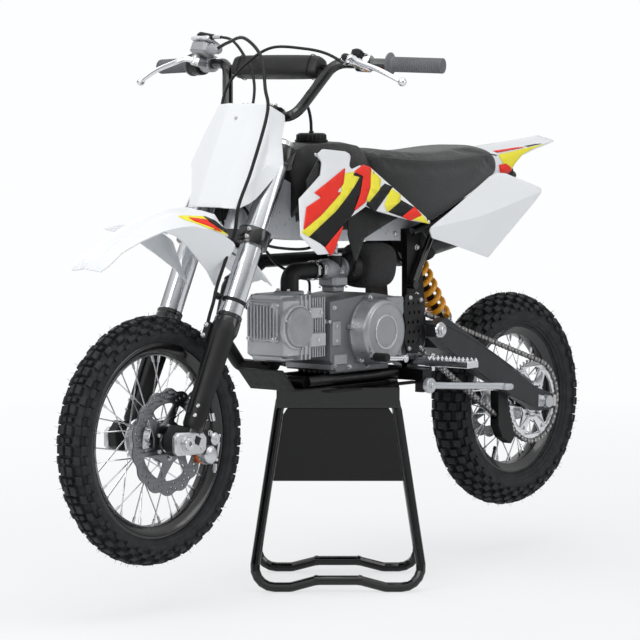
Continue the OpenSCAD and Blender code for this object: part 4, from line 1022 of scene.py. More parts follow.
FILMS = [("red", RED, [[(-122, 831), (-237, 788), (-217, 778), (-280, 758), (-304, 722), (-244, 746),
                        (-152, 789), (-177, 782), (-164, 795), (-142, 806)],
                       [(-247, 680), (-240, 669), (-229, 673), (-172, 723)],
                       [(-82, 826), (-50, 836), (-28, 831), (-49, 795), (-81, 767), (-127, 749), (-88, 779),
                        (-55, 818)], [(54, 731), (101, 746), (114, 734), (72, 725)]]),
         ("yellow", YELLOW, [[(-310, 713), (-297, 707), (-196, 751), (-109, 798), (-83, 813), (-105, 816),
                              (-94, 824), (-121, 820), (-143, 804), (-150, 787), (-246, 742)],
                             [(-24, 826), (-1, 808), (-14, 791), (-64, 768), (-69, 770), (-38, 798)],
                             [(-4, 756), (-2, 746), (52, 765), (57, 774), (34, 785), (18, 775)],
                             [(77, 726), (117, 734), (136, 716)]]),
         ("black", BLACK, [[(-292, 705), (-262, 692), (-250, 684), (-240, 683), (-171, 729), (-147, 738),
                            (-90, 776), (-57, 818), (-95, 822), (-82, 812), (-108, 796), (-194, 749)],
                           [(14, 796), (32, 791), (-51, 747), (-72, 759), (-63, 766)],
                           [(2, 744), (54, 763), (99, 746), (54, 732)]])]
film_finish = {name: plain(name + "_film", colour, 0.45, coat=0.05, grain=2600, depth=0.01, tone=0.01,
                           tone_scale=60, Specular_IOR_Level=0.15) for name, colour, shapes in FILMS}
FILM_SPREAD = 3.5
FILM_LIFT = {"black": 0.7, "yellow": 1.2, "red": 1.7}
SHROUD_LEAN = radians(18)
SHROUD = [(-202, 862), (-175, 873), (-101, 867), (-82, 860), (-108, 828), (-62, 838), (-27, 835), (17, 806),
          (59, 779), (157, 713), (77, 723), (-41, 746), (-77, 757), (-171, 728), (-232, 668), (-278, 668),
          (-320, 706), (-296, 778), (-205, 823), (-188, 848)]
for side, which in SIDES:
    patch(which + "_shroud_skin", SHROUD, shroud_surface(side), (side, 0, 0), "chassis", white, "gloss_white",
          stands_for=[which + "_shroud"])
    for name, colour, shapes in FILMS:
        for i, shape in enumerate(shapes):
            film(f"{which}_{name}_stripe_{i + 1}", name, inset(shape, -FILM_SPREAD),
                 shroud_surface(side, FILM_LIFT[name]), (side, 0, 0), "chassis", 0.4)
    patch(which + "_tank_wing", [(-250, 812), (-186, 856), (-150, 800), (-110, 740), (-250, 712),
                                 (-264, 770)], lambda y, z, s=side: shroud_surface(s)(y, z)
          - Vector((s * 6, 0, 0)), (side, 0, 0), "chassis", black_plastic, "matte_black")
    inner = lambda y, z, s=side: Vector((s * (between([(-110, 122), (60, 96)], y) - (z - 740) * 0.1), y, z))
    patch(which + "_tank_flank", [(-110, 782), (60, 790), (110, 735), (20, 712), (-60, 690), (-104, 640),
                                  (-120, 700)], inner, (side, 0, 0), "chassis", black_plastic, "matte_black")
form = Form()
for side, which in SIDES:
    for y, z in ((-205, 862), (-20, 822), (142, 717)):
        form.bolt(shroud_surface(side)(y, z), (side, 0, 0.3), 3.6, 2.4)
made(form, "shroud_screws", "chassis", bolt_steel, "bright_steel")

CREASE = [(150, 703), (319, 722), (545, 770)]


def panel_surface(side):
    def surface(y, z):
        d = z - between(CREASE, y)
        x = 124 - (0.3 * d if d > 0 else -0.2 * d) + 3 * exp(-((y - 400) / 120) ** 2 - (d / 40) ** 2)
        return Vector((side * x, y, z))
    return surface


for side, which in SIDES:
    patch(which + "_panel_skin", [(148, 703), (222, 733), (308, 770), (386, 806), (410, 813), (438, 811),
                                  (500, 792), (547, 777), (542, 765), (520, 745), (452, 690), (380, 632),
                                  (230, 668), (165, 682)], panel_surface(side), (side, 0, 0), "chassis",
          white, "gloss_white", bend=8, creases=list(zip(CREASE, CREASE[1:])),
          stands_for=[which + "_side_panel"])

TAIL_TOP = [(400, 856), (431, 861), (560, 871), (640, 878), (702, 884)]
TAIL_HALF = [(400, 92), (440, 90), (520, 80), (640, 60), (702, 44)]
TAIL_SIDE = [(400, 58), (445, 54), (481, 46), (500, 30), (532, 15), (576, 10), (702, 5)]


def tail_surface(lift=0.0):
    def surface(u, y):
        a, half = min(1, abs(u) / 100), between(TAIL_HALF, y)
        z = between(TAIL_TOP, y) - 7 * a ** 2 + 4 * exp(-(a / 0.16) ** 2)
        x = half * a
        if abs(u) > 100:
            k = (abs(u) - 100) / 40
            z -= between(TAIL_SIDE, y) * k
            x += 2 * k
        return Vector((copysign(x + (lift if abs(u) > 100 else 0), u), y, z + (lift if abs(u) <= 101 else 0)))
    return surface


patch("tail_skin", [(-140, 408), (140, 408), (140, 560), (118, 690), (100, 700), (50, 704), (-50, 704),
                    (-100, 700), (-118, 690), (-140, 560)], tail_surface(), Z, "chassis", white,
      "gloss_white", bend=8, creases=[((100, 0), (100, 1)), ((-100, 0), (-100, 1))],
      stands_for=["rear_fender"])
TAIL_FILMS = (("yellow", 5, [(102, 432), (138, 470), (139, 505), (130, 560), (102, 650), (102, 560)]),
              ("red", 5, [(118, 432), (139, 440), (139, 486), (128, 478), (120, 462)]),
              ("red", 6, [(97, 434), (97, 560), (86, 530), (78, 440)]),
              ("black", 4, [(98, 566), (98, 640), (88, 610), (84, 566)]))
for side, which in SIDES:
    for name, i, shape in TAIL_FILMS:
        film(f"{which}_{name}_tail_stripe_{i}", name, [(side * u, y) for u, y in shape],
             tail_surface(FILM_LIFT[name] - 0.2), (side * 0.5, 0, 1), "chassis",
             creases=[((side * 100, 0), (side * 100, 1))])
form = Form()
form.slab([(440, 826), (560, 842), (668, 866), (668, 872), (560, 853), (440, 838)], -34, 34, 1.5)
for side, which in SIDES:
    form.box((side * 74 - 9, 415, 800), (side * 74 + 9, 500, 822), 3)
made(form, "tail_underside", "chassis", black_plastic, "matte_black", bevel=1)

# ---------- front mudguard and number plate ----------

GUARD_LINE = [Vector((y, z)) for y, z in [(-366, 226), (-362, 240), (-340, 284), (-304, 328), (-254, 380),
                                          (-204, 419), (-150, 448), (-109, 457), (-65, 424.8), (28, 424.8),
                                          (115, 411)]]
guard_at = [0.0]
for p, q in zip(GUARD_LINE, GUARD_LINE[1:]):
    guard_at.append(guard_at[-1] + (q - p).length)
GUARD_HALF = list(zip(guard_at, [38, 46, 48, 51, 57, 65, 76, 82, 48, 48, 34]))
GUARD_DROP = list(zip(guard_at, [4, 6, 9, 13, 18, 26, 40, 42, 4, 8, 10]))


def guard_surface(lift=0.0):
    def surface(u, s):
        k = 0
        while k < len(guard_at) - 2 and s > guard_at[k + 1]:
            k += 1
        t = (s - guard_at[k]) / (guard_at[k + 1] - guard_at[k])
        p = GUARD_LINE[k].lerp(GUARD_LINE[k + 1], max(0, min(1, t)))
        a, half, drop = abs(u) / 100, between(GUARD_HALF, s), between(GUARD_DROP, s)
        d = (GUARD_LINE[k + 1] - GUARD_LINE[k]).normalized()
        up = Vector((-d.y, d.x))
        fall = drop * max(0, a - 0.45) / 0.55 - 5 * max(0, 1 - a / 0.35)
        q = p - up * (fall - lift)
        return steered((copysign(half * a + lift * max(0, a - 0.5), u), q.x, q.y))
    return surface


total = guard_at[-1]
patch("front_mudguard", [(-100, 0), (100, 0), (100, total), (-100, total)], guard_surface(), (0, -0.3, 1),
      "steering", white, "gloss_white", bend=0, step=20, stands_for=["front_fender"],
      creases=[((u, 0), (u, 1)) for u in (45, -45, 0, 35, -35)], sharp=14)
s0 = guard_at[4]
GUARD_FILMS = (("yellow", 7, 0.6, [(58, 54), (76, 60), (99, 110), (99, 164), (80, 166), (62, 140)]),
               ("red", 7, 1.1, [(66, 76), (80, 84), (97, 128), (97, 150), (78, 140), (70, 118)]),
               ("black", 5, 1.6, [(62, 118), (74, 124), (90, 150), (97, 163), (84, 165), (66, 150)]))
SKIRT = ((-272, 352, 3), (-236, 375, 18), (-196, 394, 36), (-154, 404, 52), (-112, 411, 66), (-84, 410, 76),
         (-76, 406, 76))
for side, which in SIDES:
    rows = []
    for y, z, deep in SKIRT:
        rows.append([steered((side * (83 - 0.6 * d), y + 0.35 * d, z - d)) for d in (0, deep * 0.5, deep)])
        rows[-1] += [p - Vector((side * 3, 0, 0)) for p in reversed(rows[-1])]
    made(Form().loft(rows), which + "_guard_skirt", "steering", white, "gloss_white", sharp=50, bevel=0.6)
    for name, i, lift, shape in GUARD_FILMS:
        film(f"{which}_{name}_guard_stripe_{i}", name, [(side * u, s0 + s) for u, s in shape],
             guard_surface(lift), (side * 0.5, 0, 1), "steering", 0.25, step=10,
             creases=[((side * 45, 0), (side * 45, 1))])
form = Form()
for x, y in ((-30, -50), (30, -50), (-30, 10), (30, 10)):
    form.bolt(steered((x, y, 424)), STEER.to_3x3() @ Vector((0, 0, -1)), 5, 4)
made(form, "guard_bolts", "steering", bolt_steel, "bright_steel")

PLATE_FOLD = [(478, 60), (514, 66), (560, 88), (580, 101), (645, 85), (702, 66)]


def plate_surface(x, z):
    past = abs(x) - between(PLATE_FOLD, z)
    y = -97 + 0.28 * max(0, abs(x) - 30) + past_slope(z) * max(0, past)
    return steered((x, y, z))


def past_slope(z):
    """How sharply the plate's side turns back: square to the front at the top, gently along the bottom."""
    return between([(478, 1.0), (560, 1.2), (600, 1.9), (650, 2.3), (710, 3.4)], z)


plate_half = [(0, 703), (64, 706), (77, 703), (82, 690), (96, 645), (113, 594), (111, 572), (92, 530),
              (78, 500), (64, 480), (40, 478)]
fold = [(k, z) for z, k in PLATE_FOLD]
patch("front_number_plate", plate_half + [(-x, z) for x, z in reversed(plate_half[1:])],
      plate_surface, (0, -1, 0.3), "steering", white, "gloss_white", step=12, bend=5, sharp=16,
      creases=[((30, 0), (30, 1)), ((-30, 0), (-30, 1))]
      + [((s * a[0], a[1]), (s * b[0], b[1])) for s in (-1, 1) for a, b in zip(fold, fold[1:])],
      stands_for=["number_plate"])
form = Form(STEER)
for s in (-1, 1):
    form.box((s * 52 - 6, -85, 611), (s * 52 + 6, -54, 625), 2)
    form.bar((s * 52, -86, 618), (s * 52, -80, 618), 9, steps=20)
made(form, "plate_brackets", "steering", black_plastic, "matte_black")
form = Form()
form.bolt(plate_surface(0, 672) - Vector((0, 0.5, 0)), STEER.to_3x3() @ Vector((0, -1, 0)), 3.2, 2, False)
made(form, "plate_screw", "steering", bolt_steel, "bright_steel")

# ---------- tank, cap, seat ----------

TANK = ((-206, 846, 0.66, 745), (-190, 868, 0.8, 730), (-150, 882, 0.96, 715), (-90, 885, 1.0, 705),
        (-30, 884, 1.0, 705), (10, 878, 0.97, 715), (32, 868, 0.9, 740))  # y, top, width, bottom
rings = []
for y, top, wide, low_z in TANK:
    half = [(0, top + 1), (30, top), (44, top - 2), (60, top - 20), (85, top - 66), (87, top - 92),
            (60, top - 124), (58, low_z)]
    rings.append(across([(x * wide, z) for x, z in half], y))
made(Form().loft(rings), "tank_shell", "chassis", black_plastic, "matte_black", bevel=3.0, sharp=30,
     stands_for=["fuel_tank"])
form = Form(Matrix.Translation((0, -86, 884)))
form.turn([(0, 33), (3, 34), (5, 34)], axis=Z, steps=48)
form.turn([(4, 27), (6, 29.5), (9, 30), (15, 30), (18, 28), (19, 24), (17.5, 20), (17.5, 0)], axis=Z,
          steps=48)
for k in range(22):
    u = Vector((cos(tau * k / 22), sin(tau * k / 22), 0))
    form.bar(Vector((0, 0, 3)) + u * 29, Vector((0, 0, 16)) + u * 28.2, 2.8, steps=8)
form.bar((0, 0, 16), (0, 0, 23), 5)
form.use(1).tube(smooth_path([(0, 0, 20), (0, -2, 46), (-1, -8, 68), (-2, -18, 82)]), 3.2, 10)
made(form, "tank_cap", "chassis", [black_plastic, soft_rubber], "matte_black", stands_for=["fuel_cap"])

seat_cover = Finish("seat_cover", (0.04, 0.041, 0.044), 0.66, Sheen_Weight=0.25)
x, y, z = seat_cover.xyz()
weave = seat_cover.cells(1100)
fine = seat_cover.grain(350, 3)
side_share = seat_cover.fade(x.math("ABSOLUTE", x), 84, 99)
dust = seat_cover.fade(seat_cover.grain(9, 4), 0.35, 0.7, 0.85, 1.25)
seat_cover.feed({
    "Base Color": seat_cover.mix(side_share, (0.011, 0.0115, 0.012), (0.017, 0.0175, 0.019)),
    "Roughness": seat_cover.fade(fine * dust, 0.3, 0.7, 0.55, 0.78),
    "Normal": seat_cover.bump(weave * 0.8 + fine * 0.5, 0.4, 0.0007)})
pad_cover = plain("pad_cover", (0.008, 0.008, 0.009), 0.45, grain=1200, depth=0.35)

SEAT = [  # y, half width, top, lower edge
    (36, 54, 868, 768), (60, 66, 866, 760), (100, 84, 861, 742), (145, 98, 858, 712), (176, 104, 857, 708),
    (220, 107, 857, 724), (260, 108, 858, 742), (310, 107, 862, 762), (350, 105, 865, 780),
        (392, 102, 867, 800),
    (418, 98, 864, 808), (430, 90, 852, 822)]


def seat_ring(y, w, top, low_z):
    """Across the seat: flat crown, round shoulders, straight sides, hollow underside between the rails."""
    h, under = top - low_z, max(low_z, between([(60, 760), (150, 742), (250, 744), (350, 787), (430, 822)],
                                               y))
    half = [(0, top + 1.5), (w * 0.4, top + 1), (w * 0.74, top - 2.5), (w * 0.9, top - 8),
            (w * 0.965, top - 15), (w * 0.985, top - 24), (w, low_z + h * 0.5), (w * 0.99, low_z + h * 0.2),
            (w * 0.96, low_z + 2), (w * 0.86, low_z), (w * 0.78, under), (w * 0.3, under)]
    return across(half, y)


seat = mesh_of(Form().loft([seat_ring(*row) for row in SEAT]), "padded_seat", seat_cover.material)
clean(seat.data, slivers=True)


def puff(piece, pressure, cap, voxel, keep_below):
    """Swells a closed cover like foam under cloth, by at most cap millimetres, then applies it."""
    scene = bpy.context.scene
    piece.modifiers.new("round", "SUBSURF").levels = 2
    m = piece.modifiers.new("even", "REMESH")
    m.mode, m.voxel_size = "VOXEL", voxel * MM
    piece.data = mesh = bpy.data.meshes.new_from_object(
        piece.evaluated_get(bpy.context.evaluated_depsgraph_get()))
    piece.modifiers.clear()
    group = piece.vertex_groups.new(name="held")
    group.add([v.index for v in mesh.vertices if keep_below(v.co)], 1.0, "REPLACE")
    c = piece.modifiers.new("cloth", "CLOTH")
    c.settings.use_pressure, c.settings.uniform_pressure_force = True, pressure
    c.settings.effector_weights.gravity = 0
    c.settings.vertex_group_mass = "held"
    c.settings.quality = 4
    c.point_cache.frame_start, c.point_cache.frame_end = 1, 20
    for k in range(1, 21):
        scene.frame_set(k)
    swollen = bpy.data.meshes.new_from_object(piece.evaluated_get(bpy.context.evaluated_depsgraph_get()))
    piece.modifiers.clear()
    scene.frame_set(1)
    for v, w in zip(mesh.vertices, swollen.vertices):
        d = w.co - v.co
        v.co = v.co + d * (min(1, cap * MM / d.length) if d.length > 1e-9 else 0)
    mesh.shade_smooth()


puff(seat, 4, 5, 6, lambda p: p.z / MM - LIFT.z < 768 + max(0, p.y / MM - 250) * 0.3 or p.y / MM < 45)
subdivide(seat, 1, "fine")
placed(seat, "chassis", ["seat"])
form = Form()
for s in (-1, 1):
    line = [Vector((s * (w * 0.965 + 1.2), y, top - 14.5)) for y, w, top, low_z in SEAT[1:-1]]
    form.tube(smooth_path(line, 4), 1.5, 8)
made(form, "seat_piping", "chassis", seat_cover.material, "seat_cover")

PAD_AT, PAD_HALF = Vector((0, -24, 820)), (20, 23)
pad = ((-114, 0.62), (-111, 0.86), (-103, 0.97), (-50, 1.0), (0, 1.01), (50, 1.0), (103, 0.97), (111, 0.86),
       (114, 0.62))
rows = [[PAD_AT + Vector((x, a * PAD_HALF[0] * k, b * PAD_HALF[1] * k)) for a, b in squircle(20, 2 / 3.6)]
        for x, k in pad]
bar_pad = made(Form(STEER).loft(rows), "padded_bar_pad", "steering", pad_cover, "pad_cover", smooth=1,
               sharp=180, stands_for=["bar_pad"])
form = Form(STEER)
for x in (-92, 92):
    form.tube([PAD_AT + Vector((x, a * (PAD_HALF[0] + 0.6), b * (PAD_HALF[1] + 0.6)))
               for a, b in squircle(28, 0.56)], 0.9, 6, closed=True)
made(form, "bar_pad_seams", "steering", soft_rubber, "pad_cover")

# ---------- engine ----------

form = Form()
form.box((-46, -150, 458), (46, -100, 562), 4)
form.ribs(6, (-54, -146, 449), (54, -143.4, 571), (0, 7.4, 0), 1.2)
form.box((-54, -231, 450), (54, -150, 574), 7)
form.ribs(3, (-58, -187, 446), (58, -183, 578), (0, 13, 0), 1.5)
form.box((-40, -228, 566), (40, -158, 580), 4).box((-40, -228, 444), (40, -158, 458), 4)
form.box((-38, -240, 484), (38, -228, 564), 4)
form.ribs(9, (-35.6, -247, 489), (-32.4, -238, 559), (8.5, 0, 0), 1.2)
for x in (-32, 32):
    for z in (490, 558):
        form.use(0).bar((x, -228, z), (x, -243, z), 8, 7)
        form.use(1).bolt((x, -243, z), (0, -1, 0), 5, 6)
form.use(0)
form.turn([(52, 46), (60, 46), (62, 44), (62, 40)], (0, -200, 514), steps=48)
form.use(2).turn([(60, 41), (66, 41), (68, 39), (68.6, 34), (68, 31), (69.5, 20), (70, 0)], (0, -200, 514),
                 steps=48)
for a in (40, 160, 280):
    form.use(1).bolt(Vector((62, -200, 514)) + spoke(radians(a), 44.5), X, 3.4, 4)
form.use(0).box((50, -160, 470), (62, -112, 500), 3).box((50, -160, 528), (61, -120, 552), 3)
form.use(1).bolt((62, -140, 485), X, 5, 6).bolt((61, -130, 540), X, 4.4, 5).bolt((54, -104, 520), X, 4.5, 12)
form.use(3).bar((-58, -190, 540), (-78, -196, 552), 8).bar((-78, -196, 552), (-84, -170, 570), 6)
made(form, "finned_head", "chassis", [head_cast, bolt_steel, cover_paint, soft_rubber], "cast_alloy",
     bevel=0.5, stands_for=["cylinder_head"])

LEFT_COVER, RIGHT_COVER = Vector((0, 28, 494)), Vector((0, 30, 490))
form = Form()
form.turn([(62.2, 70), (68, 70.5), (70, 69), (98, 67), (103.5, 64), (106, 59), (106.4, 55), (105.4, 52),
           (105.6, 20), (106.2, 0)], LEFT_COVER, steps=72)
form.use(1).turn([(105.2, 36), (107.4, 36), (107.8, 35), (107.4, 32.5), (105.2, 32.5)], LEFT_COVER, steps=64,
                 loop=True)
for a in (25, 100, 170, 235, 310):
    c = LEFT_COVER + spoke(radians(a), 71)
    form.use(0).bar(c + Vector((62, 0, 0)), c + Vector((74, 0, 0)), 6.5, 6)
    form.use(2).bolt(c + Vector((74, 0, 0)), X, 3.8, 4)
form.use(0).slab([(60, 562), (114, 562), (116, 530), (104, 500), (110, 438), (60, 424)], 62, 84, 3)
form.slab([(-20, 552), (132, 550), (140, 448), (-20, 428)], -92, -70, 4)
form.turn([(-70, 68), (-88, 67), (-94, 64), (-96.6, 58), (-97, 30), (-99, 26), (-99, 0)], RIGHT_COVER,
          steps=64)
for k in range(9):
    c = RIGHT_COVER + spoke(radians(40 * k + 10), 68)
    form.bar(c + Vector((-70, 0, 0)), c + Vector((-90, 0, 0)), 6.5)
    form.use(2).bolt(c + Vector((-90, 0, 0)), (-1, 0, 0), 3.8, 4).use(0)
made(form, "side_covers", "chassis", [cover_paint, machined, bolt_steel], "cast_alloy", bevel=0.6,
     stands_for=["engine_covers"])
guard = [(120, 564), (140, 568), (178, 562), (186, 540), (184, 492), (188, 470), (178, 446), (160, 440),
         (128, 442), (116, 470), (122, 500), (114, 530)]
holes = [circle(y + (4 if row % 2 else 0), z, 3.6, 14) for row, z in enumerate((546, 526, 506, 486, 466))
         for y in (130, 146, 162)]
cut("drive_guard", [flat_rounded(guard, 8, 4)] + holes, 79.6, 83.6, "chassis", black_plastic,
    0.6)
form = Form()
form.bolts(X, 4, 4, *[(83.6, y, z) for y, z in ((136, 558), (172, 552), (132, 452), (170, 452))])
for y, z in ((-88, 548), (-88, 430), (30, 562), (142, 548), (148, 480), (130, 432), (20, 424), (-40, 424)):
    form.bolt((62, y, z), X, 4.4, 5).bolt((-70, y, z), (-1, 0, 0), 4.4, 5)
form.use(1).ribs(6, (-64, -92, 420), (60, -89, 556), (0, 6, 0), 1)
form.ribs(7, (-50, -70, 409), (-46, 120, 420), (14, 0, 0), 1.2)
form.box((60, -96, 470), (66, -70, 520), 3).box((60, -92, 430), (68, -52, 452), 3)
form.use(0).bolts(X, 4, 4, (66, -84, 480), (66, -84, 510))
made(form, "case_ribs_and_bolts", "chassis", [bolt_steel, engine_cast], "cast_alloy")

# ---------- intake and exhaust ----------

form = Form()
form.box((-18, -186, 574), (26, -138, 584), 4)
elbow = rounded([(4, -160, 580), (4, -160, 622), (4, -70, 622)], 32, 8)
form.use(3).tube(elbow, [19 - 2 * k / len(elbow) for k in range(len(elbow))], 20)
form.use(2)
for y in (-92, -72):
    form.band((4, y, 622), Y, 19, 20.6, 7)
    form.box((18, y, 612), (26, y + 7, 634), 1.5).bolt((26, y + 3.5, 628), X, 2.6, 3)
form.bolts(Z, 4, 5, (-10, -180, 584), (18, -180, 584))
form.use(0).turn([(0, 17), (8, 18), (12, 22), (40, 22), (46, 18), (62, 17), (64, 24), (70, 24)],
                 (4, -66, 622), Y, 32)
form.box((-18, -46, 584), (28, 2, 610), 6).box((-12, -40, 574), (22, -4, 588), 5)
form.use(1).bar((10, -22, 626), (10, -22, 650), 15).use(2).bar((10, -22, 650), (10, -22, 655), 16.5, steps=12)
form.bar((10, -20, 652), (10, -20, 664), 4.5)
form.bolts((0, 0, -1), 2.4, 3, (-14, -42, 586), (24, -42, 586), (-14, -2, 586), (24, -2, 586))
form.bolt((28, -22, 616), X, 4, 5).use(1).bar((27, 8, 612), (38, 8, 612),
                                              6).bar((38, 8, 612), (40, 12, 640), 3)
form.use(3).turn([(0, 26), (4, 30), (34, 34), (40, 30)], (4, 4, 622), Y, 32)
made(form, "carburettor_and_intake", "chassis", [engine_cast, black_plastic, bolt_steel, soft_rubber],
     "cast_alloy", bevel=0.6, stands_for=["carburettor"])

foam = Finish("filter_foam", (0.012, 0.012, 0.013), 0.95, Sheen_Weight=0.1)
pores = foam.cells(420)
foam.feed({"Base Color": foam.mix(foam.fade(pores, 0.1, 0.6), (0.004, 0.004, 0.004), (0.03, 0.03, 0.032)),
           "Normal": foam.bump(pores + foam.grain(900, 2) * 0.5, 0.9, 0.002)})
FOAM = ((40, 0.7), (44, 0.88), (52, 0.97), (75, 1.02), (100, 1.03), (122, 1.0), (134, 0.9), (140, 0.7),
        (142, 0.4))
rows = [[(8 + a * 47 * k, y + 2 * sin(3 * tau * j / 24), 626 + b * 48 * k)
         for j, (a, b) in enumerate(squircle(24, 0.72))] for y, k in FOAM]
made(Form().loft(rows), "foam_filter", "chassis", foam.material, "foam", smooth=2, sharp=180,
     stands_for=["air_filter"])
made(Form().band((8, 46, 626), Y, 36, 38, 6), "filter_clamp", "chassis", bolt_steel, "bright_steel")

can = Vector((-80, 262, 642))
way = Vector((-80, 545, 690)) - can
span = way.length
way.normalize()
form = Form()
form.turn([(0, 16), (3, 17.5), (6, 17.5), (8, 17), (28, 33), (33, 37.5), (38, 38), (42, 38.8), (50, 38.8),
           (54, 38), (span - 22, 38), (span - 18, 38.8), (span - 8, 38.8), (span - 4, 37), (span + 6, 26),
           (span + 8, 18), (span + 22, 17.4), (span + 22, 13.2), (span - 40, 13.2)], can, way, 48)
form.use(1)
for s in (43, span - 15):
    form.band(can + way * s, way, 38.6, 39.8, 6, 48)
for k in range(6):
    a = radians(60 * k)
    out = Vector(X) * cos(a) + way.cross(Vector(X)) * sin(a)
    form.bolt(can + way * (span - 12) + out * 38.6, out, 2.4, 1.6, False)
made(form, "silencer_can", "chassis", [exhaust_black, bolt_steel], "exhaust_black", stands_for=["silencer"])
form = Form()
for p, q in (((-94, -236, 596), (-90, -140, 640)), ((-90, 40, 640), (-90, 150, 640))):
    d = Vector(q) - Vector(p)
    form.turn([(4, 15.4), (6, 17.2), (d.length - 6, 17.2), (d.length - 4, 15.4)], p, d, 28)
form.band((-90, 200, 640), Y, 14, 17, 8, 28).band((-83.1, 246, 640), Y, 14, 17, 8, 28)
form.bar((-20, -180, 446), (-20, -180, 438), 24).bolts((0, 0, -1), 4, 5, (-38, -180, 438), (-2, -180, 438))
made(form, "exhaust_shields", "chassis", exhaust_black, "exhaust_black")

# ---------- shock, frame and swingarm details ----------

SHOCK_TOP, SHOCK_LOW = Vector((0, 212, 686)), Vector((0, 352, 492))
down = SHOCK_LOW - SHOCK_TOP
span = down.length
down.normalize()
form = Form()
form.turn([(-10, 8), (-8, 14), (6, 16), (10, 22), (50, 23), (54, 20), (56, 27), (60, 27), (63, 25)],
          SHOCK_TOP, down, 36)
form.bar((34, 214, 690), (34, 262, 640), 17).box((10, 214, 668), (40, 236, 700), 5)
form.use(1).turn([(58, 26.4), (62, 26.4), (62, 20), (58, 20)], SHOCK_TOP, down, 36, loop=True)
form.turn([(span - 13, 19), (span - 13, 26), (span - 8, 26), (span - 4, 14)], SHOCK_TOP, down, 36)
form.bolt((34, 262, 640), (0, 0.69, -0.72), 5, 4, False)
form.use(2).tube([SHOCK_TOP + down * 60, SHOCK_LOW], 7, 20)
form.use(0).bar((-22, 352, 492), (22, 352, 492), 10).use(1).bolt((22, 352, 492), X, 6, 5)
made(form, "shock_and_reservoir", "chassis", [satin_black, bolt_steel, polished], "black_paint")
WIRE, COIL_R, TURNS = 6, 21, 6
side = down.cross(Vector(X))
first, last = 63.5 + WIRE, span - 12.5 - WIRE
coil = []
for i in range(TURNS * 24 + 1):
    t = tau * i / 24
    coil.append(SHOCK_TOP + down * (first + (last - first) * i / (TURNS * 24))
                + Vector(X) * (COIL_R * cos(t)) + side * (COIL_R * sin(t)))
made(Form().tube(coil, WIRE, 12), "coil_spring", "chassis", spring_gold, "spring_gold",
     stands_for=["shock_spring"])

form = Form()
for s in (-1, 1):
    form.bolts((s, 0, 0), 5, 5, *[(s * 46.4, y, z) for y, z in ((-60, 716), (40, 700), (130, 690))])
    form.bolts((s, 0, 0), 5.5, 5, *[(s * 56.2, y, z) for y, z in ((192, 560), (204, 440), (192, 660))])
    form.bar((s * 108.5, 204, 488), (s * 114, 204, 488), 17, 16,
             30).bolt((s * 114, 204, 488), (s, 0, 0), 9, 7)
    y = rear_axle.y
    form.bolt((s * 109, y, rear_axle.z), (s, 0, 0), 12, 9)
    form.box((s * 96 - 13.5, y + 30, 296), (s * 96 + 13.5, y + 41, 322), 2)
    form.bar((s * 96, y + 38, 309), (s * 96, y + 50, 309), 3.4).bolt((s * 96, y + 46, 309), Y, 4, 5)
    form.use(1).slab([(y - 26, 326), (y + 28, 316), (y + 28, 298), (y - 26, 300)], s * 108.1 - 0.4,
                     s * 108.1 + 1.6, 0.4).use(0)
made(form, "frame_and_arm_bolts", "chassis", [bolt_steel, machined], "bright_steel", bevel=0.4)
form = Form()
for s in (-1, 1):
    for seam in (((214, 502), (300, 470), (400, 424), (540, 352)),
                 ((214, 458), (300, 412), (420, 352), (540, 304))):
        form.tube(smooth_path([(s * 108.6, y, z) for y, z in seam], 5), 1.2, 6)
made(form, "arm_seams", "chassis", arm_grey, "grey_paint")

# ---------- foot controls ----------

form = Form()
for s in (-1, 1):
    form.box((s * 86 - 28, 164, 413), (s * 86 + 28, 190, 435), 3)
    form.bar((s * 110, 177, 404), (s * 110, 177, 440), 6)
    for y in (151, 183):
        form.box((min(s * 112, s * 224), y - 3, 416), (max(s * 112, s * 224), y + 3, 430), 1.5)
    form.ribs(6, (s * 118 - 3, 150, 416), (s * 118 + 3, 184, 428), (s * 20, 0, 0), 1.2)
    form.box((s * 222 - 3, 148, 416), (s * 222 + 3, 186, 430), 1.5)
    for k in range(10):
        for y in (151, 183):
            form.loft([[(s * (120 + k * 11) + a * w, y + b * d, z) for a, b in SQUARE]
                       for w, d, z in ((4.6, 2.4, 429), (0.8, 1.6, 436))])
made(form, "toothed_footpegs", "chassis", polished, "bright_alloy", bevel=0.3, stands_for=["footpegs"])

form = Form()
form.bar((84.2, 78, 436), (120, 78, 436), 8)
form.tube(smooth_path([(113, 78, 436), (113, 40, 438), (113, 4, 442), (112, -24, 446)], 5), 5, 12)
form.bar((108, -24, 446), (118, -24, 446), 6).bar((106, 78, 436), (106, 78, 436.1),
                                                  8).bolt((120, 78, 436), X, 4, 3)
form.use(1).bar((117, -24, 446), (152, -24, 446), 8.4, steps=20)
form.beads(6, (119, -24, 446), 5.4, [(0, 8), (1, 9.3), (2.4, 9.3), (3.4, 8)])
form.use(0).bar((-60.2, 120, 399), (-113, 120, 399), 8)
form.tube(smooth_path([(-106, 120, 399), (-107, 60, 404), (-107, 0, 412), (-106, -60, 424)], 5), 5.5, 12)
form.box((-134, -72, 419), (-104, -48, 427), 2)
form.ribs(4, (-132, -70, 427), (-129.5, -50, 431), (7, 0, 0), 0.8)
form.bar((-92.2, 110, 500), (-118, 110, 500), 11)
form.tube(smooth_path([(-110, 110, 500), (-114, 122, 540), (-115, 140, 572), (-114, 150, 596)], 5), 6.5, 12)
form.bar((-106, 150, 596), (-112, 150, 596), 8.5).use(1).bar((-112, 150, 596), (-158, 150, 596), 7.4)
form.beads(6, (-156, 150, 596), 7, [(0, 7), (1, 8.2), (2.6, 8.2), (3.6, 7)])
made(form, "foot_levers", "chassis", [polished, soft_rubber], "bright_alloy", stands_for=["foot_controls"])

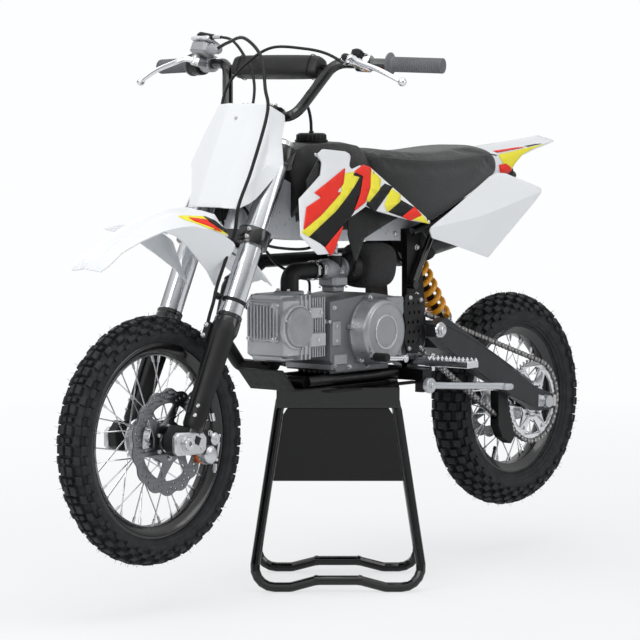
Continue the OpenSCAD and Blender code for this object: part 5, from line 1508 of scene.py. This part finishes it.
pivot = joint_at("side_stand_hinge")
pivot.x -= 6
form = Form(Matrix.Translation(pivot))
form.turn([(0.3, 12), (0.3, 15), (2, 16), (11, 16), (13, 14), (13, 0)], steps=30)
form.tube(smooth_path([(8, 6, 0), (8.4, 80, -6), (9, 170, -13), (9, 252, -19)], 4), 7.2, 16)
form.box((-4, 246, -27), (24, 274, -14), 3).use(1).bolt((13, 0, 0), X, 7, 5)
made(form, "folding_stand", "side_stand", [silver_paint, bolt_steel], "silver_paint", bevel=0.4,
     stands_for=["side_stand"])

# ---------- fork ----------

form = Form(STEER)
for s in (-1, 1):
    x = s * 78
    form.use(0).turn([(0, 15), (2, 17.5), (30, 18.5), (200, 18.5), (222, 22), (232, 26), (238, 26.5),
                      (256, 26.5), (261, 25), (261, 23)], (x, -28, 10), Z, 36)
    rows = []
    for z, grow, turn in ((34, 0.8, 62), (44, 1.0, 84), (110, 1.04, 92), (200, 1.1, 96), (236, 1.18, 96),
                          (256, 1.12, 74), (264, 1.0, 40)):
        arc = [radians(-90 - turn + 2 * turn * k / 14) for k in range(15)]
        outer = [(x + 24 * grow * cos(a), -28 + 25 * grow * sin(a), z) for a in arc]
        inner = [(x + 21 * grow * cos(a), -28 + 22 * grow * sin(a), z) for a in reversed(arc)]
        rows.append(outer + inner)
    form.use(1).loft(rows)
    form.slab([(-60, 60), (-52, 60), (-50, 240), (-58, 240)], x - 3, x + 3, 1)
    form.use(1).box((x - s * 20 - 8, -62, 212), (x - s * 20 + 8, -30, 252), 4)
    form.use(2).bolts((0, -1, 0), 4.6, 4, (x - s * 20, -62, 221), (x - s * 20, -62, 243))
    form.bolts((s * 0.5, -1, 0), 3.4, 3, (x + s * 12, -50, 60), (x + s * 12, -50, 80))
    form.use(0).turn([(0, 24), (2, 26), (8, 26), (10, 24), (10, 23)], (x, -28, 270), Z, 36)
    form.use(2).turn([(0, 22), (1, 22.6), (4, 20), (5, 12), (3, 11), (3, 0)], (x, -28, 649), Z, 30)
    form.bar((x, -28, 651), (x, -28, 657), 4)
    form.use(1).bar((x, -28, 8), (x, -28, 24), 20)
form.place = FRONT
for s in (-1, 1):
    form.use(1).slab([(-30, -14), (-18, -24), (30, -22), (44, -12), (44, 10), (20, 30), (-16, 36), (-34, 14)],
                     *sorted((s * 62.2, s * 84)), 2)
    form.use(3).slab([(-34, -14), (-26, -22), (44, -24), (56, -16), (58, 8), (48, 19), (-24, 23), (-34, 15)],
                     *sorted((s * 84.2, s * 96)), 3)
    form.turn([(0, 17), (1.4, 17), (1.4, 12), (0, 12)], (s * 96, 0, 0), (s, 0, 0), 32, loop=True)
    form.use(2).bolts((s, 0, 0), 3.4, 3, (s * 96, 42, -12), (s * 96, 42, 8))
made(form, "fork_guards_and_feet", "steering", [gloss_black, black_plastic, bolt_steel, machined],
     "black_paint", bevel=0.4, stands_for=["fork_legs"])

form = Form(STEER).box((54, -66, 300), (66, -50, 312), 2).box((52, -56, 236), (64, -44, 250), 2)
form.bar((78, -28, 302), (78, -28, 310), 25, steps=36)
made(form, "hose_clips", "steering", black_plastic, "matte_black", bevel=0.5)

# front caliper on the left foot, rear caliper on the right of the arm
form = Form(Matrix.Translation(front_axle) @ Matrix.Rotation(radians(-10), 4,
                                                             "X") @ Matrix.Translation((0, 105, 0)))
form.use(1).slab([(-58, 22), (-40, 34), (6, 34), (20, 20), (20, -4), (-30, -8), (-62, 6)], 60, 66, 2)
form.use(0)
for x0, x1, k in ((32, 38.6, 0.9), (53.4, 62, 1.0)):
    form.slab([(-24 * k, -26), (-10, -34 * k), (16 * k, -32), (30 * k, -16), (32 * k, 12), (20 * k, 30 * k),
               (-8, 32 * k), (-22 * k, 20)], x0, x1, 3)
form.slab([(14, -30), (30, -16), (33, 12), (22, 28), (14, 24), (14, -20)], 36, 58, 3)
form.use(2).turn([(0, 19), (5, 20), (8, 20), (8, 17)], (46, -8, -14), X, 36)
form.use(0).turn([(7, 18), (9, 19), (26, 18.5), (31, 16), (33, 12), (33, 0)], (46, -8, -14), X, 36)
form.turn([(0, 13), (10, 13), (13, 10), (13, 0)], (60, 4, 18), X, 28)
form.use(3).bolts(X, 5, 5, (66, -46, 24), (66, -10, 28)).bolt((73, 4, 18), X, 4, 4)
form.bar((58, 26, -30), (58, 26, -44), 4).bar((58, 26, -40), (58, 26, -48), 2.6)
form.bar((34, 24, 26), (64, 24, 26), 3.4).bar((34, 24, -22), (64, 24, -22), 3.4)
made(form, "front_brake_caliper", "steering", [machined, black_plastic, orange, bolt_steel], "cast_alloy",
     bevel=0.5, stands_for=["front_caliper"])
form = Form(Matrix.Translation(rear_axle) @ Matrix.Rotation(radians(155), 4,
                                                            "X") @ Matrix.Translation((0, 90, 0)))
for x0, x1 in ((-63, -54.6), (-41, -36)):
    form.slab([(-24, -26), (-10, -32), (16, -32), (30, -16), (32, 12), (20, 30), (-8, 32), (-22, 20)], x0, x1,
              3)
form.slab([(14, -30), (30, -16), (32, 12), (22, 28), (14, 24), (14, -20)], -60, -38, 3)
form.turn([(0, 17), (7, 17), (10, 14), (10, 0)], (-62, -4, 0), (-1, 0, 0), 32)
form.use(1).bolts((-1, 0, 0), 4, 4, (-63, 18, 20), (-63, 18, -20))
form.place = REAR
form.use(0).box((-83.8, -104, 26), (-60, -72, 52), 4)
made(form, "rear_brake_caliper", "chassis", [machined, bolt_steel], "cast_alloy", bevel=0.5,
     stands_for=["rear_caliper"])

form = Form(STEER)
for z in (425, 605):
    for s in (-1, 1):
        form.box((s * 78 - 11, -66, z + 4), (s * 78 + 11, -56, z + 30), 2)
        for dz in (9, 25):
            form.use(1).bolt((s * 89, -61, z + dz), (s, 0, 0), 4.2, 5).use(0)
form.use(1).turn([(0, 18), (5, 18), (8, 15), (8, 8), (5, 8), (5, 0)], (0, 0, 639), Z, 6)
for s in (-1, 1):
    form.use(0).box((s * 37 - 13, -48, 716), (s * 37 + 13, -14, 724), 3)
    form.use(1).bolts(Z, 3.6, 5, *[(s * 37 + d, y, 724) for y in (-44, -18) for d in (-6, 6)])
made(form, "clamp_bolts", "steering", [gloss_black, bolt_steel], "black_paint", bevel=0.4)

# ---------- handlebar controls, in the steering frame ----------

BAR_BEND, BAR_END = Vector((142, -22, 831)), Vector((370, 29, 848))


def bar_at(x):
    return BAR_BEND.lerp(BAR_END, (x - BAR_BEND.x) / (BAR_END.x - BAR_BEND.x))


def flip(points, s):
    return [Vector((s * p[0], p[1], p[2])) for p in points]


form = Form(STEER)
for s in (-1, 1):
    a, b = flip([bar_at(258), bar_at(373)], s)
    d = (b - a).normalized()
    length = (b - a).length
    profile = [(0, 12), (0, 22.5), (1.5, 23.5), (4, 23.5), (6, 21), (9, 16.5)]
    k = 12.0
    while k < length - 6:
        profile += [(k, 15.2), (k + 1.6, 15.2), (k + 2.2, 14.3), (k + 3.4, 14.3)]
        k += 4.0
    profile += [(length - 4, 15.4), (length - 1, 15), (length, 12), (length, 0)]
    form.turn(profile, a, d, 36)
made(form, "ribbed_grips", "steering", grip_grey, "grip_rubber", sharp=30, stands_for=["grips"])


def off_bar(x, *step):
    """Point a step away from the bar."""
    return bar_at(x) + Vector(step)


def lever_parts(form, s):
    """Bent blade with a ball at its end; gives back its pivot."""
    pivot = off_bar(205, 0, -44, -14)
    path = [pivot + Vector((-8, 6, 0)), pivot + Vector((16, -10, -1)), off_bar(245, 0, -68, -30),
            off_bar(295, 0, -71, -47), off_bar(345, 0, -66, -68)]
    line = flip(smooth_path(path, 7), s)
    rows = []
    for i, p in enumerate(line):
        d = (line[min(i + 1, len(line) - 1)] - line[max(i - 1, 0)]).normalized()
        up = (Vector(Z) - d * d.z).normalized()
        out = d.cross(up)
        t = i / (len(line) - 1)
        eye = exp(-(t / 0.12) ** 2)
        w, h = 5.6 - 1.8 * t + 2.0 * eye, 6.4 - 1.6 * t + 2.5 * eye
        rows.append([p + up * h * sin(tau * k / 12) + out * w * cos(tau * k / 12) for k in range(12)])
    form.loft(rows)
    form.turn([(-8.6, 1), (-7.5, 4.4), (-4, 7.6), (0, 8.8), (4, 7.6), (7.5, 4.4), (8.6, 0)], line[-1], d, 24)
    return flip([pivot], s)[0]


CLAMP = [(0, 12), (0, 16), (2, 17.4), (29, 17.4), (31, 16), (31, 12)]  # round the bar at each lever


form = Form(STEER)
at = lever_parts(form, 1)
form.use(1).bolt(at + Vector((0, 0, 8)), Z, 5, 4)
form.bar(at - Vector((0, 0, 9)), at + Vector((0, 0, 8)), 7)
a, b = bar_at(190), bar_at(220)
form.use(0).turn(CLAMP, a, b - a, 32)
form.tube([off_bar(205, 0, -12, -5), off_bar(205, 0, -30, -10), at], [11, 9.5, 10.5], 16)
form.use(1).bolts((0, -0.5, 1), 3.6, 4, off_bar(197, 0, -14, 12), off_bar(213, 0, -14, 12))
boot = smooth_path([at + Vector((-4, 6, 2)), off_bar(186, 0, -34, -4), off_bar(176, 0, -22, -6)], 5)
form.use(2).tube(boot, [8.5] * 10 + [6.5], 14)
form.box(tuple(off_bar(196, -8, -30, 2)), tuple(off_bar(196, 14, -8, 20)), 5)
form.use(1).bar(off_bar(186, 0, -34, -4), off_bar(180, 0, -27, -5), 9.5, steps=20)
made(form, "clutch_lever_and_perch", "steering", [polished, bolt_steel, black_plastic], "bright_alloy",
     bevel=0.3, stands_for=["clutch_lever"])

form = Form(STEER)
at = lever_parts(form, -1)
form.use(1).bolt(at + Vector((0, 0, 8)), Z, 5, 4).bar(at - Vector((0, 0, 9)), at + Vector((0, 0, 8)), 7)
a, b = flip([bar_at(190), bar_at(220)], -1)
form.use(3).turn(CLAMP, a, b - a, 32)
form.tube([flip([bar_at(205)], -1)[0] + Vector((0, -12, -5)), at + Vector((0, 8, 2)), at], [11, 10.5, 10.5],
          16)
form.box((-225, -60, 838), (-181, -20, 866), 6)
form.use(0).box((-227, -62, 866), (-179, -18, 875), 3)
for x in (-219, -187):
    for y in (-54, -26):
        form.use(1).bolt((x, y, 875), Z, 2.6, 1.6, False)
form.use(3).turn([(0, 9), (6, 10), (24, 10), (30, 8)], (-181, -46, 850), X, 24)
form.use(1).turn([(0, 6.5), (0, 8.5), (4, 8.5), (4, 6.5)], (-160, -46, 850), X, 20, loop=True)
form.bolt((-176, -46, 858), Z, 5, 4)
a, b = flip([bar_at(224), bar_at(257)], -1)
form.use(2).turn([(0, 12), (0, 19), (3, 22), (12, 22.5), (22, 22.5), (31, 21), (33, 18), (33, 12)], a, b - a,
                 36)
boot = rounded([(-236, -24, 852), (-232, -30, 876), (-214, -50, 882), (-176, -50, 876)], 14, 6)
form.tube(boot, [9.5 - 3.5 * i / (len(boot) - 1) for i in range(len(boot))], 16)
made(form, "brake_lever_and_reservoir", "steering", [polished, bolt_steel, black_plastic, engine_cast],
     "cast_alloy", bevel=0.4, stands_for=["brake_lever"])

# ---------- paddock stand details ----------

low, high = corners("stand_top")
form = Form()
for s in (-1, 1):
    form.box((s * 92 - 14, low.y + 12, high.z - 4), (s * 92 + 14, high.y - 12, high.z - 0.4), 1)
made(form, "stand_rubbers", "chassis", soft_rubber, "stand_paint")
# collars over the joints of the stand's bottom rails, in the stand's own turned frame
STAND_TURN = Matrix.Rotation(radians(39.5), 3, "Z")
COLLAR_X, FOOT_Y, RAIL_R, COLLAR_Z = 44, 143, 14, 23.9
lean = atan2(57, 390.8)  # of the legs
form = Form()
for s in (-1, 1):
    for end in (-1, 1):
        there = STAND_TURN @ Vector((end * COLLAR_X, s * (FOOT_Y - RAIL_R * sin(lean)), COLLAR_Z))
        along = STAND_TURN @ Vector((end, 0, -0.13)).normalized()
        form.bar(there - LIFT - along * 4, there - LIFT + along * 4, 10.8, steps=24)
made(form, "stand_weld_collars", "chassis", stand_black, "stand_paint")

# ---------- size ------------------------

low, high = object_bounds()
